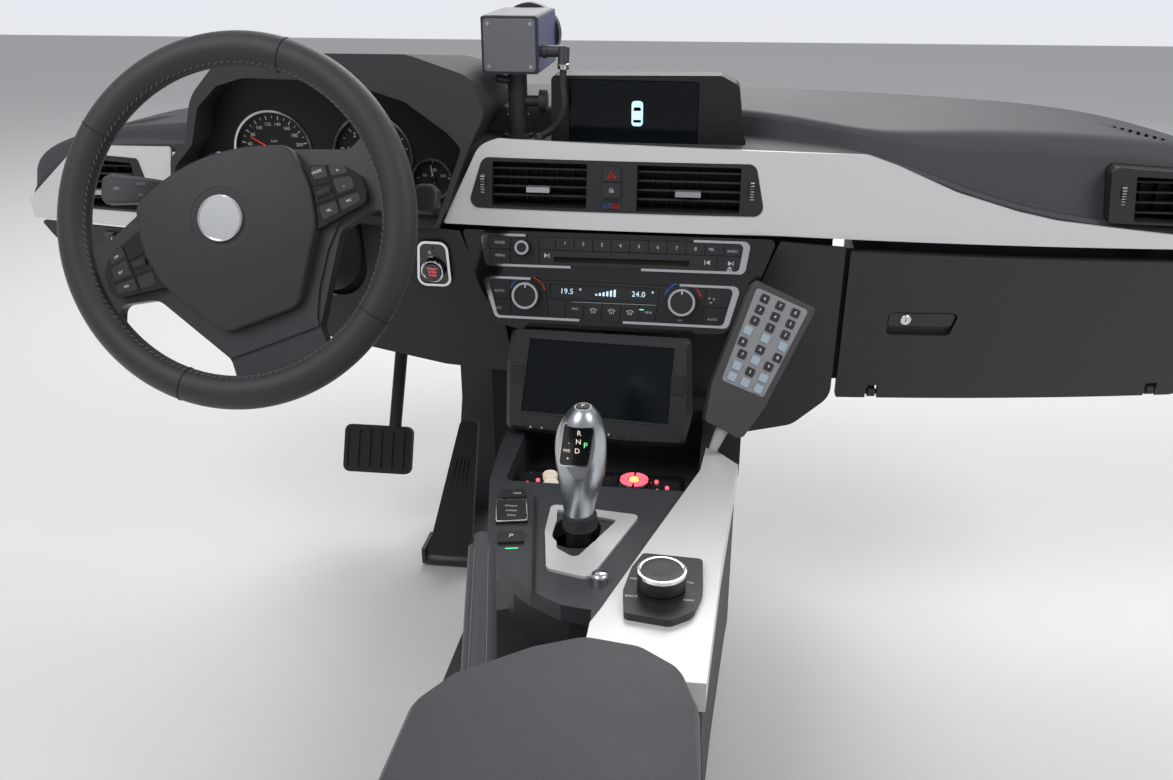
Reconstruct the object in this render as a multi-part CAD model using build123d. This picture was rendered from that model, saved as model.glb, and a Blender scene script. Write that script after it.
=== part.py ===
from build123d import *
import math
import os

# Car cockpit module, left-hand drive, in millimetres.
# X points to the passenger side, Y forward, Z up.
# The origin is the centre of the forward face of the beam's bulkhead plate.

# Dash: its front face is a tall arc in plan and leans forward as it rises.
DASH_LEFT = -777
DASH_RIGHT = 745
BOW_RADIUS = 3200
BOW_FRONT = -300
BOW_ARC = 32
RAKE = 0.23
UNDER_RAKE = -0.13
SKIN = 5
SEAT_GAP = 0.3
RUN_GAP = 5

# Cross-car beam
BEAM_Y = -105
BEAM_RADIUS = 30
BEAM_WALL = 3
BEAM_REACH = 60
BEAM_FLANGE = 80
SADDLE_THICK = 8
SADDLE_EDGE = 5
PLATE_WIDTH = 130
PLATE_HEIGHT = 70
PLATE_THICK = 6
PLATE_BOLT = 9
PLATE_BOLT_X = 50
PLATE_BOLT_Z = 22

# Steering wheel, set by its centre, its lean and the turn it stands at
WHEEL_CENTRE = (-364, -480, 46.5)
WHEEL_LEAN = 21.1
WHEEL_TURN = 22
RIM_RADIUS = 170
RIM_ACROSS = 34
RIM_DEEP = 30
COVER_BASE = 2
COVER_HIGH = 30
COVER_DOME = 420
COVER_EDGE = 4
EMBLEM_RADIUS = 22.5
EMBLEM_SEAT = 3
EMBLEM_PROUD = 1.5
EMBLEM_RING = 31
WEB_BACK = -14
WEB_RADIUS = 158
BEZEL_HIGH = 3
PACK_HIGH = 12
GROOVE_WIDE = 1
GROOVE_DEEP = 1.5
HUB_RADIUS = 36
HUB_END = 44
SHAFT_RADIUS = 10
COLUMN_RADIUS = 22
COLUMN_LENGTH = 400
SHROUD_START = 62
SHROUD_END = 215
SHROUD_GAP = 4

# Instrument cluster and its hood
CLUSTER_Y = -190
CLUSTER_DEEP = 18
HOOD_BACK = -20
HOOD_PROUD = 6
DIALS = ((-442.5, 57, 51), (-315, 55, 51), (-242, 28, 26), (-515.5, 30, 26))
RING_WIDE = 3

# Central display
DISPLAY_Y = -225
DISPLAY_DEEP = 34

# Centre stack: a flat panel that leans back as it rises
STACK_POINT = (0, -298, 0)
STACK_NORMAL = (-0.03, -1, 0.25)
FASCIA_DEEP = 12
RADIO_CAN_X = (-92, 90)
RADIO_CAN_Y = (-284, -145)
RADIO_CAN_TOP = -12
CLIMATE_CAN_X = (-118, 108)
CLIMATE_CAN_Z = (-92, -64)

# Heater block behind the stack
HVAC_FRONT = -262
HVAC_HALF = 150
HVAC_TOP = -45
HVAC_FEET = (-120, 120)

# Police monitor, keypad remote and video-radar camera
MONITOR_POINT = (-14, -385, -154)
MONITOR_NORMAL = (-0.05, -1, 0.35)
MONITOR_DEEP = 26
CAMERA_POST_RADIUS = 12
CAMERA_POST_X = -129
CAMERA_POST_Y = -205
CAMERA_FOOT_RADIUS = 18
CAMERA_FOOT_Z = 82
CAMERA_X = (-163, -99)
CAMERA_Y = (-235, -113)
CAMERA_Z = (160, 222)
LENS_RADIUS = 37
LENS_DEEP = 18

# Centre console
CONSOLE_TOP = -215
CONSOLE_RIM = 17
CONSOLE_FLOOR = -400
CONSOLE_BACK = -1150
DECK_TOP = -300
TRAY_DEEP = 30
CONSOLE_TRIM_TOP = -205

# Armrest
LID_TOP = -120
LID_BOTTOM = -163
ARMREST_WALL = 4
ARMREST_AXIS = (-1138, -173)
ARMREST_HINGES = (-40, 82)
ARMREST_HINGE_RADIUS = 3

# Handbrake lever
LEVER_PIVOT = (-42, -880, -286)
LEVER_TIP = (-72, -699, -172)
LEVER_PIN = 5
BOOT_HIGH = 6
GRIP_LENGTH = 118
GRIP_RADIUS = 14.5
GRIP_TIP_RADIUS = 12

# Gear selector
SELECTOR_PIVOT = (-6, -593, -255)
SELECTOR_TOP = -83
SELECTOR_PIN = 56

# Pedals
BRAKE_PIVOT = (-335, -60, -215)
BRAKE_PAD = (-375, -100, -397)
BRAKE_PAD_WIDE = 102
BRAKE_PAD_HIGH = 70
BRAKE_PAD_LEAN = -25
BRAKE_RIBS = 6
THROTTLE_RIBS = 4
PEDAL_PIN = 6
THROTTLE_HINGE = (-250, -190, -510)
THROTTLE_TOP = (-231, -115, -334)

# Glovebox
LID_LEFT = 258
LID_RIGHT = 690
GLOVE_TOP = -19
GLOVE_BOTTOM = -205
GLOVE_THICK = 12
GLOVE_BACK = -72
BIN_FRONT = -262
BIN_TOP = -42
BIN_BOTTOM = -190
BIN_LEFT = 14
BIN_RIGHT = 20
BIN_WALL = 4
BIN_FEET = (310, 620)
GLOVE_HINGES = (300, 630)
GLOVE_HINGE_Z = -199
GLOVE_PIN = 3
EAR_RADIUS = 6
EAR_WIDE = 8
EAR_SIDE = 3


def lean(z):
    """How far the dash's face stands back at a height, above and below its widest line."""
    return RAKE * z if z > 0 else UNDER_RAKE * z


def bow_y(x, z=0):
    """Y of the dash's front face at a place across and up."""
    axis_y = BOW_FRONT + BOW_RADIUS
    return axis_y - math.sqrt(BOW_RADIUS**2 - x**2) + lean(z)


def outline(points, radius=0):
    if radius:
        return make_face(FilletPolyline(*points, radius=radius, close=True))
    return make_face(Polyline(*points, close=True))


def mirrored(corners):
    """Close a right-hand half outline, given from top to bottom, with its mirror."""
    return list(corners) + [(-x, *rest) for x, *rest in reversed(corners) if x]


def rounded(corners):
    """A face from corners of x, y and corner radius."""
    return outline([(x, y) for x, y, r in corners], [r for x, y, r in corners])


def groove(start, end, wide):
    """A thin strip between two points of a flat drawing."""
    turn = math.degrees(math.atan2(end[1] - start[1], end[0] - start[0]))
    middle = ((start[0] + end[0]) / 2, (start[1] + end[1]) / 2)
    return Pos(*middle) * Rot(0, 0, turn) * Rectangle(math.dist(start, end), wide)


def along_y(face, front, back):
    """Extrude an X-Z outline from the front Y to the back Y."""
    return extrude(Plane.XZ.offset(-back) * face, amount=back - front)


def along_x(face, left, right):
    """Extrude a Y-Z outline from the left X to the right X."""
    return extrude(Plane.YZ.offset(left) * face, amount=right - left)


def along_z(face, low, high):
    """Extrude an X-Y outline from the low Z to the high Z."""
    return extrude(Plane.XY.offset(low) * face, amount=high - low)


def bow_sweep(points):
    """Turn a Y-Z profile, given at x = 0, about the bow's axis."""
    axis = Axis((0, BOW_FRONT + BOW_RADIUS, 0), (0, 0, 1))
    solid = revolve(Plane.YZ * outline(points), axis, revolution_arc=BOW_ARC)
    return solid.rotate(axis, -BOW_ARC / 2)


def face_profile(points, proud, thick):
    """A Y-Z strip on the dash's face, as high as an X-Z outline."""
    low = min(z for x, z in points) - 1
    high = max(z for x, z in points) + 1
    heights = [low, 0, high] if low < 0 < high else [low, high]
    near = BOW_FRONT - proud
    front = [(near + lean(z), z) for z in heights]
    return front + [(near + lean(z) + thick, z) for z in reversed(heights)]


def bow_panel(points, radius, thick, proud=0):
    """A curved panel on the dash's face with the given X-Z outline."""
    band = bow_sweep(face_profile(points, proud, thick))
    return band & along_y(outline(points, radius), -360, 0)


def box_between(x_range, y_range, z_range):
    size = [high - low for low, high in (x_range, y_range, z_range)]
    centre = [(high + low) / 2 for low, high in (x_range, y_range, z_range)]
    return Pos(*centre) * Box(*size)


def rod(start, end, radius):
    """A straight round bar between two points."""
    way = Vector(*end) - Vector(*start)
    return extrude(Plane(start, z_dir=way) * Circle(radius), amount=way.length)


WHEEL_PLANE = Plane(
    WHEEL_CENTRE,
    x_dir=(1, 0, 0),
    z_dir=(0, -math.cos(math.radians(WHEEL_LEAN)), math.sin(math.radians(WHEEL_LEAN))),
)
STACK_PLANE = Plane(STACK_POINT, x_dir=(1, -0.03, 0), z_dir=STACK_NORMAL)
MONITOR_PLANE = Plane(MONITOR_POINT, x_dir=(1, -0.05, 0), z_dir=MONITOR_NORMAL)


def place_on(plane, x, y, z):
    """World coordinates of a point given in a plane's own axes."""
    point = plane.from_local_coords(Vector(x, y, z))
    return (point.X, point.Y, point.Z)


def column_rod(start, end, radius):
    """A round bar on the column's axis, measured forward from the wheel's centre."""
    return extrude(WHEEL_PLANE.offset(-end) * Circle(radius), amount=end - start)


SHROUD_NEAR = (96, 88, 26)
SHROUD_FAR = (112, 112, 34)


def shroud_section(size, distance, grow=0):
    wide, high, corner = size
    return WHEEL_PLANE.offset(-distance) * RectangleRounded(wide + 2 * grow, high + 2 * grow, corner + grow)


def column_passage():
    """The way through the dash for the shroud, with a gap all round."""
    end = SHROUD_END + 60
    return extrude(shroud_section(SHROUD_FAR, end, SHROUD_GAP), amount=end)


def add_all(pieces):
    return pieces[0].fuse(*pieces[1:]) if len(pieces) > 1 else pieces[0]


# Beam

def beam_saddle(x, end):
    """A clamp web across the beam, from the beam's middle up or down to a height."""
    reach = BEAM_RADIUS + SADDLE_EDGE
    web = outline([(BEAM_Y - reach, 0), (BEAM_Y + reach, 0), (BEAM_Y + reach, end), (BEAM_Y - reach, end)])
    half = SADDLE_THICK / 2
    bar = rod((x - SADDLE_THICK, BEAM_Y, 0), (x + SADDLE_THICK, BEAM_Y, 0), BEAM_RADIUS + SEAT_GAP)
    return along_x(web, x - half, x + half) - bar


def cross_beam():
    left, right = DASH_LEFT + BEAM_REACH, DASH_RIGHT - BEAM_REACH
    outer = rod((left, BEAM_Y, 0), (right, BEAM_Y, 0), BEAM_RADIUS)
    bore = rod((left - 1, BEAM_Y, 0), (right + 1, BEAM_Y, 0), BEAM_RADIUS - BEAM_WALL)
    plate = box_between(
        (-PLATE_WIDTH / 2, PLATE_WIDTH / 2), (-PLATE_THICK, 0),
        (-PLATE_HEIGHT / 2, PLATE_HEIGHT / 2),
    )
    for x in (-PLATE_BOLT_X, PLATE_BOLT_X):
        for z in (-PLATE_BOLT_Z, PLATE_BOLT_Z):
            plate -= rod((x, 1, z), (x, -PLATE_THICK - 1, z), PLATE_BOLT / 2)
    pieces = [outer, plate]
    for x in (-28, 28):
        web = outline([(BEAM_Y, -24), (-PLATE_THICK, -32), (-PLATE_THICK, 32), (BEAM_Y, 24)])
        pieces.append(along_x(web, x - 2.5, x + 2.5))
    for x in (left, right - 6):
        flange = RectangleRounded(BEAM_FLANGE, BEAM_FLANGE, 12)
        pieces.append(along_x(Pos(BEAM_Y, 0) * flange, x, x + 6))
    column_z = WHEEL_CENTRE[2] - (BEAM_Y - WHEEL_CENTRE[1]) * math.tan(math.radians(WHEEL_LEAN))
    for side in (-1, 1):
        cheek = outline([
            (BEAM_Y - 30, 10), (BEAM_Y + 30, 10), (BEAM_Y + 22, column_z - 6), (BEAM_Y - 50, column_z + 14),
        ])
        x = WHEEL_CENTRE[0] + side * (COLUMN_RADIUS + SEAT_GAP + 2)
        pieces.append(along_x(cheek, x - 2, x + 2))
    return add_all(pieces) - bore


# Pad

PAD_SECTIONS = (
    # x, edge z, shelf z, shelf depth, dome z, dome roll, far y, far z
    (DASH_LEFT, -10, -6, 18, 30, 12, 0, 30),
    (-712, 47, 52, 18, 68, 8, 12, 62),
    (-560, 70, 75, 20, 92, 8, 30, 86),
    (-350, 82, 86, 40, 108, 10, 50, 104),
    (-160, 88, 85, 95, 113, 10, 58, 110),
    (0, 87, 84, 108, 114, 10, 60, 110),
    (130, 85, 84, 108, 113, 10, 60, 110),
    (215, 83, 85, 60, 110, 10, 57, 108),
    (272, 78, 83, 22, 107, 12, 54, 107),
    (360, 50, 55, 18, 105, 28, 48, 104),
    (470, 19, 24, 18, 102, 30, 38, 99),
    (600, 1, 6, 18, 90, 30, 25, 83),
    (690, -7, -2, 18, 70, 24, 12, 60),
    (DASH_RIGHT, -12, -7, 18, 50, 16, 0, 48),
)
PAD_THICK = 20
PAD_SADDLES = ((-575, 78), (-90, 100), (150, 100), (520, 84))


def pad_face(x, edge, shelf, depth, dome, roll, far_y, far_z):
    front = bow_y(x, edge) + 6.2
    back = bow_y(x, shelf) + depth
    rise = dome - shelf
    points = [
        (front, edge - 9),
        (front, edge + 1),
        (front + 4, shelf),
        (back, shelf + 1),
        (back + 0.35 * rise, dome),
        (far_y, far_z),
        (far_y, far_z - PAD_THICK),
        (back + 0.35 * rise + 12, dome - PAD_THICK),
        (back + 12, shelf - 10),
    ]
    radii = [1, 1, 2, 2, roll, 6, 2, 4, 2]
    return Plane.YZ.offset(x) * outline(points, radii)


HOOD_OUTER = (
    # x, z, corner radius
    (-551, -14, 6), (-551, 58, 16), (-529, 76, 14), (-521, 128, 50), (-480, 172, 40), (-397, 184, 120),
    (-250, 184, 120), (-170, 160, 30), (-153, 122, 20), (-172, 84, 6), (-211, -14, 4),
)
HOOD_INNER = (
    (-544.5, -2, 8), (-544.5, 48, 10), (-520, 74, 10), (-511, 116, 14), (-484, 142, 20), (-448, 152, 30),
    (-320, 152, 40), (-247, 132, 20), (-198, 101, 10), (-180, 84, 8), (-211, -2, 6),
)


def hood_block():
    side = outline([
        (-306, -20), (-306, 186), (-285, 186), (-150, 170), (-50, 128), (HOOD_BACK, 100),
        (HOOD_BACK, 84), (-172, 70), (-172, -20),
    ])
    block = along_y(rounded(HOOD_OUTER), -306, HOOD_BACK)
    front = BOW_FRONT - HOOD_PROUD
    ahead = bow_sweep([
        (front - 90, -30), (front, -30), (front, 0), (front + lean(200), 200), (front - 90, 200),
    ])
    skin_back = BOW_FRONT + SKIN + 2
    below = bow_sweep([(front - 90, -40), (skin_back, -40), (skin_back, -4), (front - 90, -4)])
    return (block & along_x(side, -600, -100)) - ahead - below


def cluster_hood():
    cavity = along_y(rounded(HOOD_INNER), -320, CLUSTER_Y + CLUSTER_DEEP)
    return hood_block() - cavity - column_passage()


def pad_blank():
    return loft([pad_face(*row) for row in PAD_SECTIONS])


GRILLES = {
    "left": ((-690, -150), (-640, -95), (-600, -110), (-612, -175), (-650, -190)),
    "right": ((545, -70), (590, -95), (628, -150), (600, -180), (578, -160)),
}


GRILLE_LOW = 60


def upper_pad():
    pad = pad_blank() - hood_block()
    for side in GRILLES:
        pad -= grille_prism(side, 0)
    pad -= display_block(1)
    for shape, corner in ((VENT_LEFT, 6), (VENT_CENTRE, 10), (VENT_RIGHT, 4)):
        pad -= along_y(outline(shape, corner), -360, -140)
    foot = (CAMERA_POST_X, CAMERA_POST_Y)
    pad -= rod((*foot, CAMERA_FOOT_Z), (*foot, 300), CAMERA_FOOT_RADIUS + SEAT_GAP)
    for x, top in PAD_SADDLES:
        pad += beam_saddle(x, top)
    return pad


def grille_prism(side, inset):
    face = outline(GRILLES[side], 8)
    if inset:
        face = offset(face, -inset)
    return along_z(face, GRILLE_LOW, 140)


def defroster_grille(side):
    grille = pad_blank() & grille_prism(side, SEAT_GAP)
    xs = [x for x, y in GRILLES[side]]
    low, high = min(xs) + 14, max(xs) - 12
    slots = 7
    for i in range(slots):
        x = low + (high - low) * i / (slots - 1)
        slot = Pos(x, -130, 90) * Rot(0, 0, -20) * Box(4, 90, 100)
        grille -= slot & grille_prism(side, 7)
    return grille


# Trim strips

TRIM_MAIN = (
    (-203, 1), (-161, 88), (-140, 95), (268, 85), (301, 74), (367, 46), (434, 26),
    (479, 16), (606, 0), (DASH_RIGHT, -12), (DASH_RIGHT, -27), (609, -17), (179, -1),
)
TRIM_LEFT = (
    (DASH_LEFT, -34), (DASH_LEFT, -10), (-712, 46), (-690, 63), (-553, 69), (-556, 20), (-570, -32),
)
VENT_CENTRE = ((-174, 20), (-157, 75), (149, 74), (161, 19))
VENT_LEFT = ((-729, -14), (-690, 44), (-678, 54), (-602, 53), (-584, 12), (-586, -12))
VENT_RIGHT = ((532, 14), (530, 66), (536, 72), (672, 60), (690, 54), (692, 4))
MIX_WHEEL = (-9, 28, 30, 8)
FIELDS = {
    "left": (((-716, -10), (-684, 42), (-676, 48), (-612, 47), (-602, 12), (-603, -9)),),
    "centre": (
        ((-145, 23), (-145, 71), (-37, 71), (-37, 23)),
        ((19, 22), (19, 71), (133, 70), (133, 22)),
    ),
    "right": (((560, 15), (558, 62), (666, 55), (682, 48), (684, 8)),),
}
VENT_DEPTH = 54
VANE_BACK = 6
VANE_THICK = 2
KEY_HIGH = 2.5
VANE_DEEP = 26
VANE_PITCH = 11.5
TRIM_THICK = 4


def trim_main():
    radii = [2, 26, 16, 30, 60, 90, 90, 120, 200, 2, 2, 200, 60]
    panel = bow_panel(TRIM_MAIN, radii, TRIM_THICK)
    return panel - along_y(outline(VENT_CENTRE, 10), -360, -200)


def trim_left():
    panel = bow_panel(TRIM_LEFT, [2, 3, 20, 14, 6, 40, 3], TRIM_THICK)
    return panel - along_y(outline(VENT_LEFT, 6), -360, -100)


def vane_heights(field):
    low, high = min(z for x, z in field), max(z for x, z in field)
    count = int((high - low) / VANE_PITCH)
    return [low + (high - low) * (i + 1) / (count + 1) for i in range(count)]


VENT_WHEELS = {
    # x, z of each wheel that sets the flow, let into the end blocks
    "left": ((-596.5, 15),), "centre": ((-156, 46), (146, 46)), "right": ((546, 42),),
}
VENT_WHEEL_RADIUS = 15
VENT_WHEEL_WIDE = 6
VENT_WHEEL_PROUD = 2.5
FIN_PITCH = 19
FIN_THICK = 1.5


def vent_wheel(x, z):
    y = bow_y(x, z) - 1 - VENT_WHEEL_PROUD + VENT_WHEEL_RADIUS
    half = VENT_WHEEL_WIDE / 2
    return rod((x - half, y, z), (x + half, y, z), VENT_WHEEL_RADIUS)


def fins(field, front):
    """The upright fins that stand behind a field's vanes."""
    low, high = min(x for x, z in field), max(x for x, z in field)
    bottom, top = min(z for x, z in field), max(z for x, z in field)
    count = int((high - low) / FIN_PITCH)
    start = front + VANE_BACK + VANE_DEEP + 1
    pieces = []
    for i in range(count):
        x = low + (high - low) * (i + 1) / (count + 1)
        width = (x - FIN_THICK / 2, x + FIN_THICK / 2)
        fin = box_between(width, (start, front + VENT_DEPTH - 10), (bottom, top))
        pieces.append(fin & along_y(outline(field, 2), -360, 0))
    return pieces


def vent(place, shape, proud, corner):
    block = bow_sweep(face_profile(shape, proud, VENT_DEPTH))
    block = block & along_y(offset(outline(shape, corner), -SEAT_GAP), -360, 0)
    for field in FIELDS[place]:
        x_low, x_high = min(x for x, z in field), max(x for x, z in field)
        middle = (x_low + x_high) / 2
        front = bow_y(middle, 0)
        cut = along_y(outline(field, 2), front - 30, front + VENT_DEPTH - 12)
        vanes = []
        for z in vane_heights(field):
            start = bow_y(middle, z) + VANE_BACK
            vane = Pos(middle, start + VANE_DEEP / 2, z) * Rot(-8, 0, 0) * Box(
                x_high - x_low + 6, VANE_DEEP, VANE_THICK)
            vanes.append(vane & along_y(outline(field, 2), -360, 0))
        block -= cut
        block = block.fuse(*vanes, *fins(field, front))
    wheels = [vent_wheel(x, z) for x, z in VENT_WHEELS[place]]
    if place == "centre":
        x, z, radius, high = MIX_WHEEL
        y = bow_y(x, z) - 1 - VENT_WHEEL_PROUD + radius
        disc = rod((x, y, z - high / 2), (x, y, z + high / 2), radius)
        wheels.append(disc & box_between((x - 14, x + 14), (-360, y - radius / 2), (z - high, z + high)))
    return block.fuse(*wheels)


def vent_tabs():
    tabs = []
    for place, field, vane, x, wide in (
        ("centre", 0, 1, -92, 26), ("centre", 1, 1, 76, 28),
        ("left", 0, 1, -660, 22), ("right", 0, 1, 618, 24),
    ):
        z = vane_heights(FIELDS[place][field])[vane]
        back = bow_y(x, z) + VANE_BACK - SEAT_GAP
        tabs.append(Pos(x, back - 4.5, z) * Box(wide, 9, 6))
    return tabs


HAZARD_KEYS = ((-19, 36), (-18, 69), (1, 69), (2, 36))
HAZARD_SPLIT = 53


def hazard_block():
    keys = bow_panel(HAZARD_KEYS, 4, KEY_HIGH, 1 + KEY_HIGH)
    gap = GROOVE_WIDE / 2
    return keys - box_between((-40, 20), (-330, -200), (HAZARD_SPLIT - gap, HAZARD_SPLIT + gap))


# Display

def display_block(grow):
    shape = (
        (-87 - grow, 78), (-86 - grow, 158 + grow), (106, 160 + grow), (126 + grow, 150), (136 + grow, 78))
    return along_y(outline(shape, [3, 6, 6, 10, 3]), DISPLAY_Y - grow, DISPLAY_Y + DISPLAY_DEEP + grow)


def display_housing():
    housing = display_block(0)
    recess = along_y(outline(((-66, 82), (-66, 155), (82, 153), (82, 81)), 3), DISPLAY_Y - 1, DISPLAY_Y + 4)
    return housing - recess


def display_screen():
    return along_y(outline(((-65, 83), (-65, 154), (81, 152), (81, 82)), 3), DISPLAY_Y + 1, DISPLAY_Y + 4)


# Cluster

def cluster_housing():
    plate = along_y(
        offset(rounded(HOOD_INNER), -SEAT_GAP), CLUSTER_Y, CLUSTER_Y + CLUSTER_DEEP - SEAT_GAP)
    for x, z, radius in DIALS:
        plate -= rod((x, CLUSTER_Y - 1, z), (x, CLUSTER_Y + 5, z), radius)
    return plate


def cluster_rings():
    rings = []
    for x, z, radius in DIALS:
        outer = rod((x, CLUSTER_Y - 2, z), (x, CLUSTER_Y + 5, z), radius - SEAT_GAP)
        rings.append(outer - rod((x, CLUSTER_Y - 3, z), (x, CLUSTER_Y + 6, z), radius - RING_WIDE))
    return rings


# Centre stack

FASCIA = (
    (-181, -5), (176, -3), (168, -26), (144, -88), (122, -107), (-110, -113), (-136, -108), (-160, -65),
)
RADIO = ((-150, -11), (140, -9), (136, -38), (-144, -41))
CLIMATE = ((-147, -58), (132, -57), (122, -97), (-135, -98))


def on_stack(points, radius, low, high, grow=0):
    """Extrude an outline, given in X and Z, out of the stack's plane."""
    stretch = math.sqrt(1 + 0.25**2)
    face = outline([(x, z * stretch) for x, z in points], radius)
    if grow:
        face = offset(face, grow)
    return extrude(STACK_PLANE.offset(low) * face, amount=high - low)


def stack_fascia():
    fascia = on_stack(FASCIA, [4, 6, 30, 12, 14, 20, 10, 30], -FASCIA_DEEP, 0)
    return fascia - on_stack(RADIO, 5, -40, 20, SEAT_GAP) - on_stack(CLIMATE, 5, -40, 20, SEAT_GAP)


def stack_knob(x, z, radius, low, high):
    centre = STACK_PLANE.offset(low) * Pos(x, z * math.sqrt(1 + 0.25**2))
    return extrude(centre * Circle(radius), amount=high - low)


PANEL_FRONT = 5
RADIO_LINES = (
    ((-149, -25), (-122, -25)), ((-122, -10), (-122, -40)), ((-90, -10), (-88, -40)),
    ((-88, -24), (138, -22)), ((112, -23), (111, -39)),
) + tuple(((x, -10), (x, -23)) for x in range(-70, 121, 21))
CLIMATE_LINES = (
    ((-145, -80), (-122, -80)), ((-122, -58), (-120, -97)), ((-80, -60), (-76, -97)), ((-78, -78), (48, -78)),
    ((50, -60), (46, -97)), ((102, -58), (98, -97)), ((100, -78), (127, -78)),
) + tuple(((x, -79), (x - 1, -97)) for x in range(-56, 40, 21))


def engraved(panel, lines):
    """Cut the joints between the keys into a panel of the stack."""
    stretch = math.sqrt(1 + 0.25**2)
    for (x1, z1), (x2, z2) in lines:
        strip = groove((x1, z1 * stretch), (x2, z2 * stretch), GROOVE_WIDE)
        panel -= extrude(STACK_PLANE.offset(PANEL_FRONT - GROOVE_DEEP) * strip, amount=10)
    return panel


def radio_panel():
    panel = on_stack(RADIO, 5, -FASCIA_DEEP, 5)
    panel += box_between(RADIO_CAN_X, (RADIO_CAN_Y[0] - 14, RADIO_CAN_Y[1]), (-34, -17))
    panel += box_between(RADIO_CAN_X, RADIO_CAN_Y, (HVAC_TOP + SEAT_GAP, RADIO_CAN_TOP))
    slot = on_stack(((-72, -31), (82, -29), (81, -35), (-71, -37)), 1, 1, 20)
    x, z, radius, high = RADIO_KNOB
    knob = stack_knob(x, z, radius, 4, high) - knob_ring(*RADIO_KNOB, SEAT_GAP)
    return engraved(panel, RADIO_LINES) - slot + knob


def climate_panel():
    panel = on_stack(CLIMATE, 5, -FASCIA_DEEP, 5)
    panel += box_between(CLIMATE_CAN_X, (-311, HVAC_FRONT - SEAT_GAP), CLIMATE_CAN_Z)
    panel -= on_stack(((-76, -60), (46, -60), (44, -76), (-74, -77)), 1, 3, 20)
    panel = engraved(panel, CLIMATE_LINES)
    for x, z, radius, high in CLIMATE_KNOBS:
        panel += stack_knob(x, z, radius, 4, high) - knob_ring(x, z, radius, high, SEAT_GAP)
    return panel


RADIO_BRACKET = ((-158, -8), (148, -6), (143, -41), (-151, -44))
CLIMATE_BRACKET = ((-155, -55), (140, -54), (128, -100), (-138, -101))
BRACKET_HIGH = 6
BRACKET_GAPS = (
    # panel, x range, z range left open between the bracket's ends
    (RADIO_BRACKET, (-105, 85), (-20, 0)), (RADIO_BRACKET, (-52, 28), (-60, -30)),
    (CLIMATE_BRACKET, (-98, 72), (-70, -50)), (CLIMATE_BRACKET, (-40, 10), (-110, -90)),
)
RADIO_KNOB = (-107, -22, 9, 16)
CLIMATE_KNOBS = ((-101, -74, 16, 20), (76, -73, 16, 20))
KNOB_RING = 2.5
RING_DEEP = 2


def knob_ring(x, z, radius, high, grow=0):
    """The bright ring let into a knob's front edge."""
    low = high - RING_DEEP - grow
    outer = stack_knob(x, z, radius - 1 + grow, low, high + 0.6)
    return outer - stack_knob(x, z, radius - 1 - KNOB_RING - grow, low - 1, high + 2)


def start_ring():
    band = bow_sweep(face_profile(START_PLATE, START_PROUD + 1.5, 1.5))
    face = offset(outline(START_PLATE, 12), -1)
    return band & along_y(face - offset(face, -3), -360, 0)


def bright_frames():
    pieces = []
    for bracket, panel in ((RADIO_BRACKET, RADIO), (CLIMATE_BRACKET, CLIMATE)):
        frame = on_stack(bracket, 7, 0, BRACKET_HIGH) - on_stack(panel, 5, -1, BRACKET_HIGH + 1, SEAT_GAP)
        for shape, (left, right), (low, high) in BRACKET_GAPS:
            if shape is bracket:
                frame -= on_stack(((left, high), (right, high), (right, low), (left, low)), 0, -5, 20)
        pieces += frame.solids()
    for knob in (RADIO_KNOB, *CLIMATE_KNOBS):
        pieces.append(knob_ring(*knob))
    pieces += start_ring().solids()
    return pieces


KNEE = (
    # x, z, corner radius
    (-768, -37, 3), (-572, -36, 6), (-560, -8, 6), (-207, -6, 3), (-184, -8, 3), (-163, -68, 20),
    (-139, -112, 20), (-128, -188, 8), (-216, -184, 60), (-478, -141, 200), (-690, -86, 60), (-750, -60, 20),
)
START_PLATE = ((-236, -20), (-198, -20), (-197, -78), (-242, -79))
START_PROUD = 3
LIGHT_PLATE = ((-667, -42), (-621, -42), (-621, -66), (-667, -66))


def knee_panel():
    panel = bow_sweep(face_profile([(x, z) for x, z, r in KNEE], 0, SKIN))
    panel = panel & along_y(rounded(KNEE), -360, 0)
    panel -= along_y(outline(START_PLATE, 12), -400, 0)
    panel -= along_y(outline(LIGHT_PLATE, 4), -400, 0)
    return panel - column_passage()


def start_panel():
    plate = bow_panel(START_PLATE, 12, SKIN + START_PROUD, START_PROUD)
    plate = plate & along_y(offset(outline(START_PLATE, 12), -SEAT_GAP), -400, 0)
    y = bow_y(-217, -55)
    return plate + rod((-219, y - 7, -57), (-219, y + 1, -57), 14)


def light_panel():
    plate = bow_panel(LIGHT_PLATE, 4, SKIN + 2, 2)
    plate = plate & along_y(offset(outline(LIGHT_PLATE, 4), -SEAT_GAP), -400, 0)
    y = bow_y(-650, -54)
    return plate + rod((-652, y - 10, -54), (-652, y + 1, -54), 10)


FILLER = (
    (180, -8), (252, -14), (252, -205), (210, -245), (146, -260), (128, -235), (148, -96), (171, -30),
)


def filler_panel():
    return bow_panel(FILLER, [3, 3, 30, 30, 10, 10, 30, 20], SKIN)


# Heater block behind the stack

def hvac_block():
    shape = outline([
        (HVAC_FRONT, HVAC_TOP - 15), (HVAC_FRONT, -300), (-230, -340), (-60, -340), (-25, -300), (-25, -75),
        (-60, HVAC_TOP), (-240, HVAC_TOP),
    ], 12)
    block = along_x(shape, -HVAC_HALF, HVAC_HALF)
    for x in HVAC_FEET:
        block += beam_saddle(x, HVAC_TOP - 2)
    return block


# Glovebox

GLOVE_LID = (
    (LID_LEFT, GLOVE_TOP), (LID_RIGHT, GLOVE_TOP - 17), (LID_RIGHT, -160), (662, GLOVE_BOTTOM),
    (LID_LEFT, GLOVE_BOTTOM),
)
GLOVE_HANDLE = ((308, -92), (388, -93), (380, -122), (308, -121))


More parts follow.
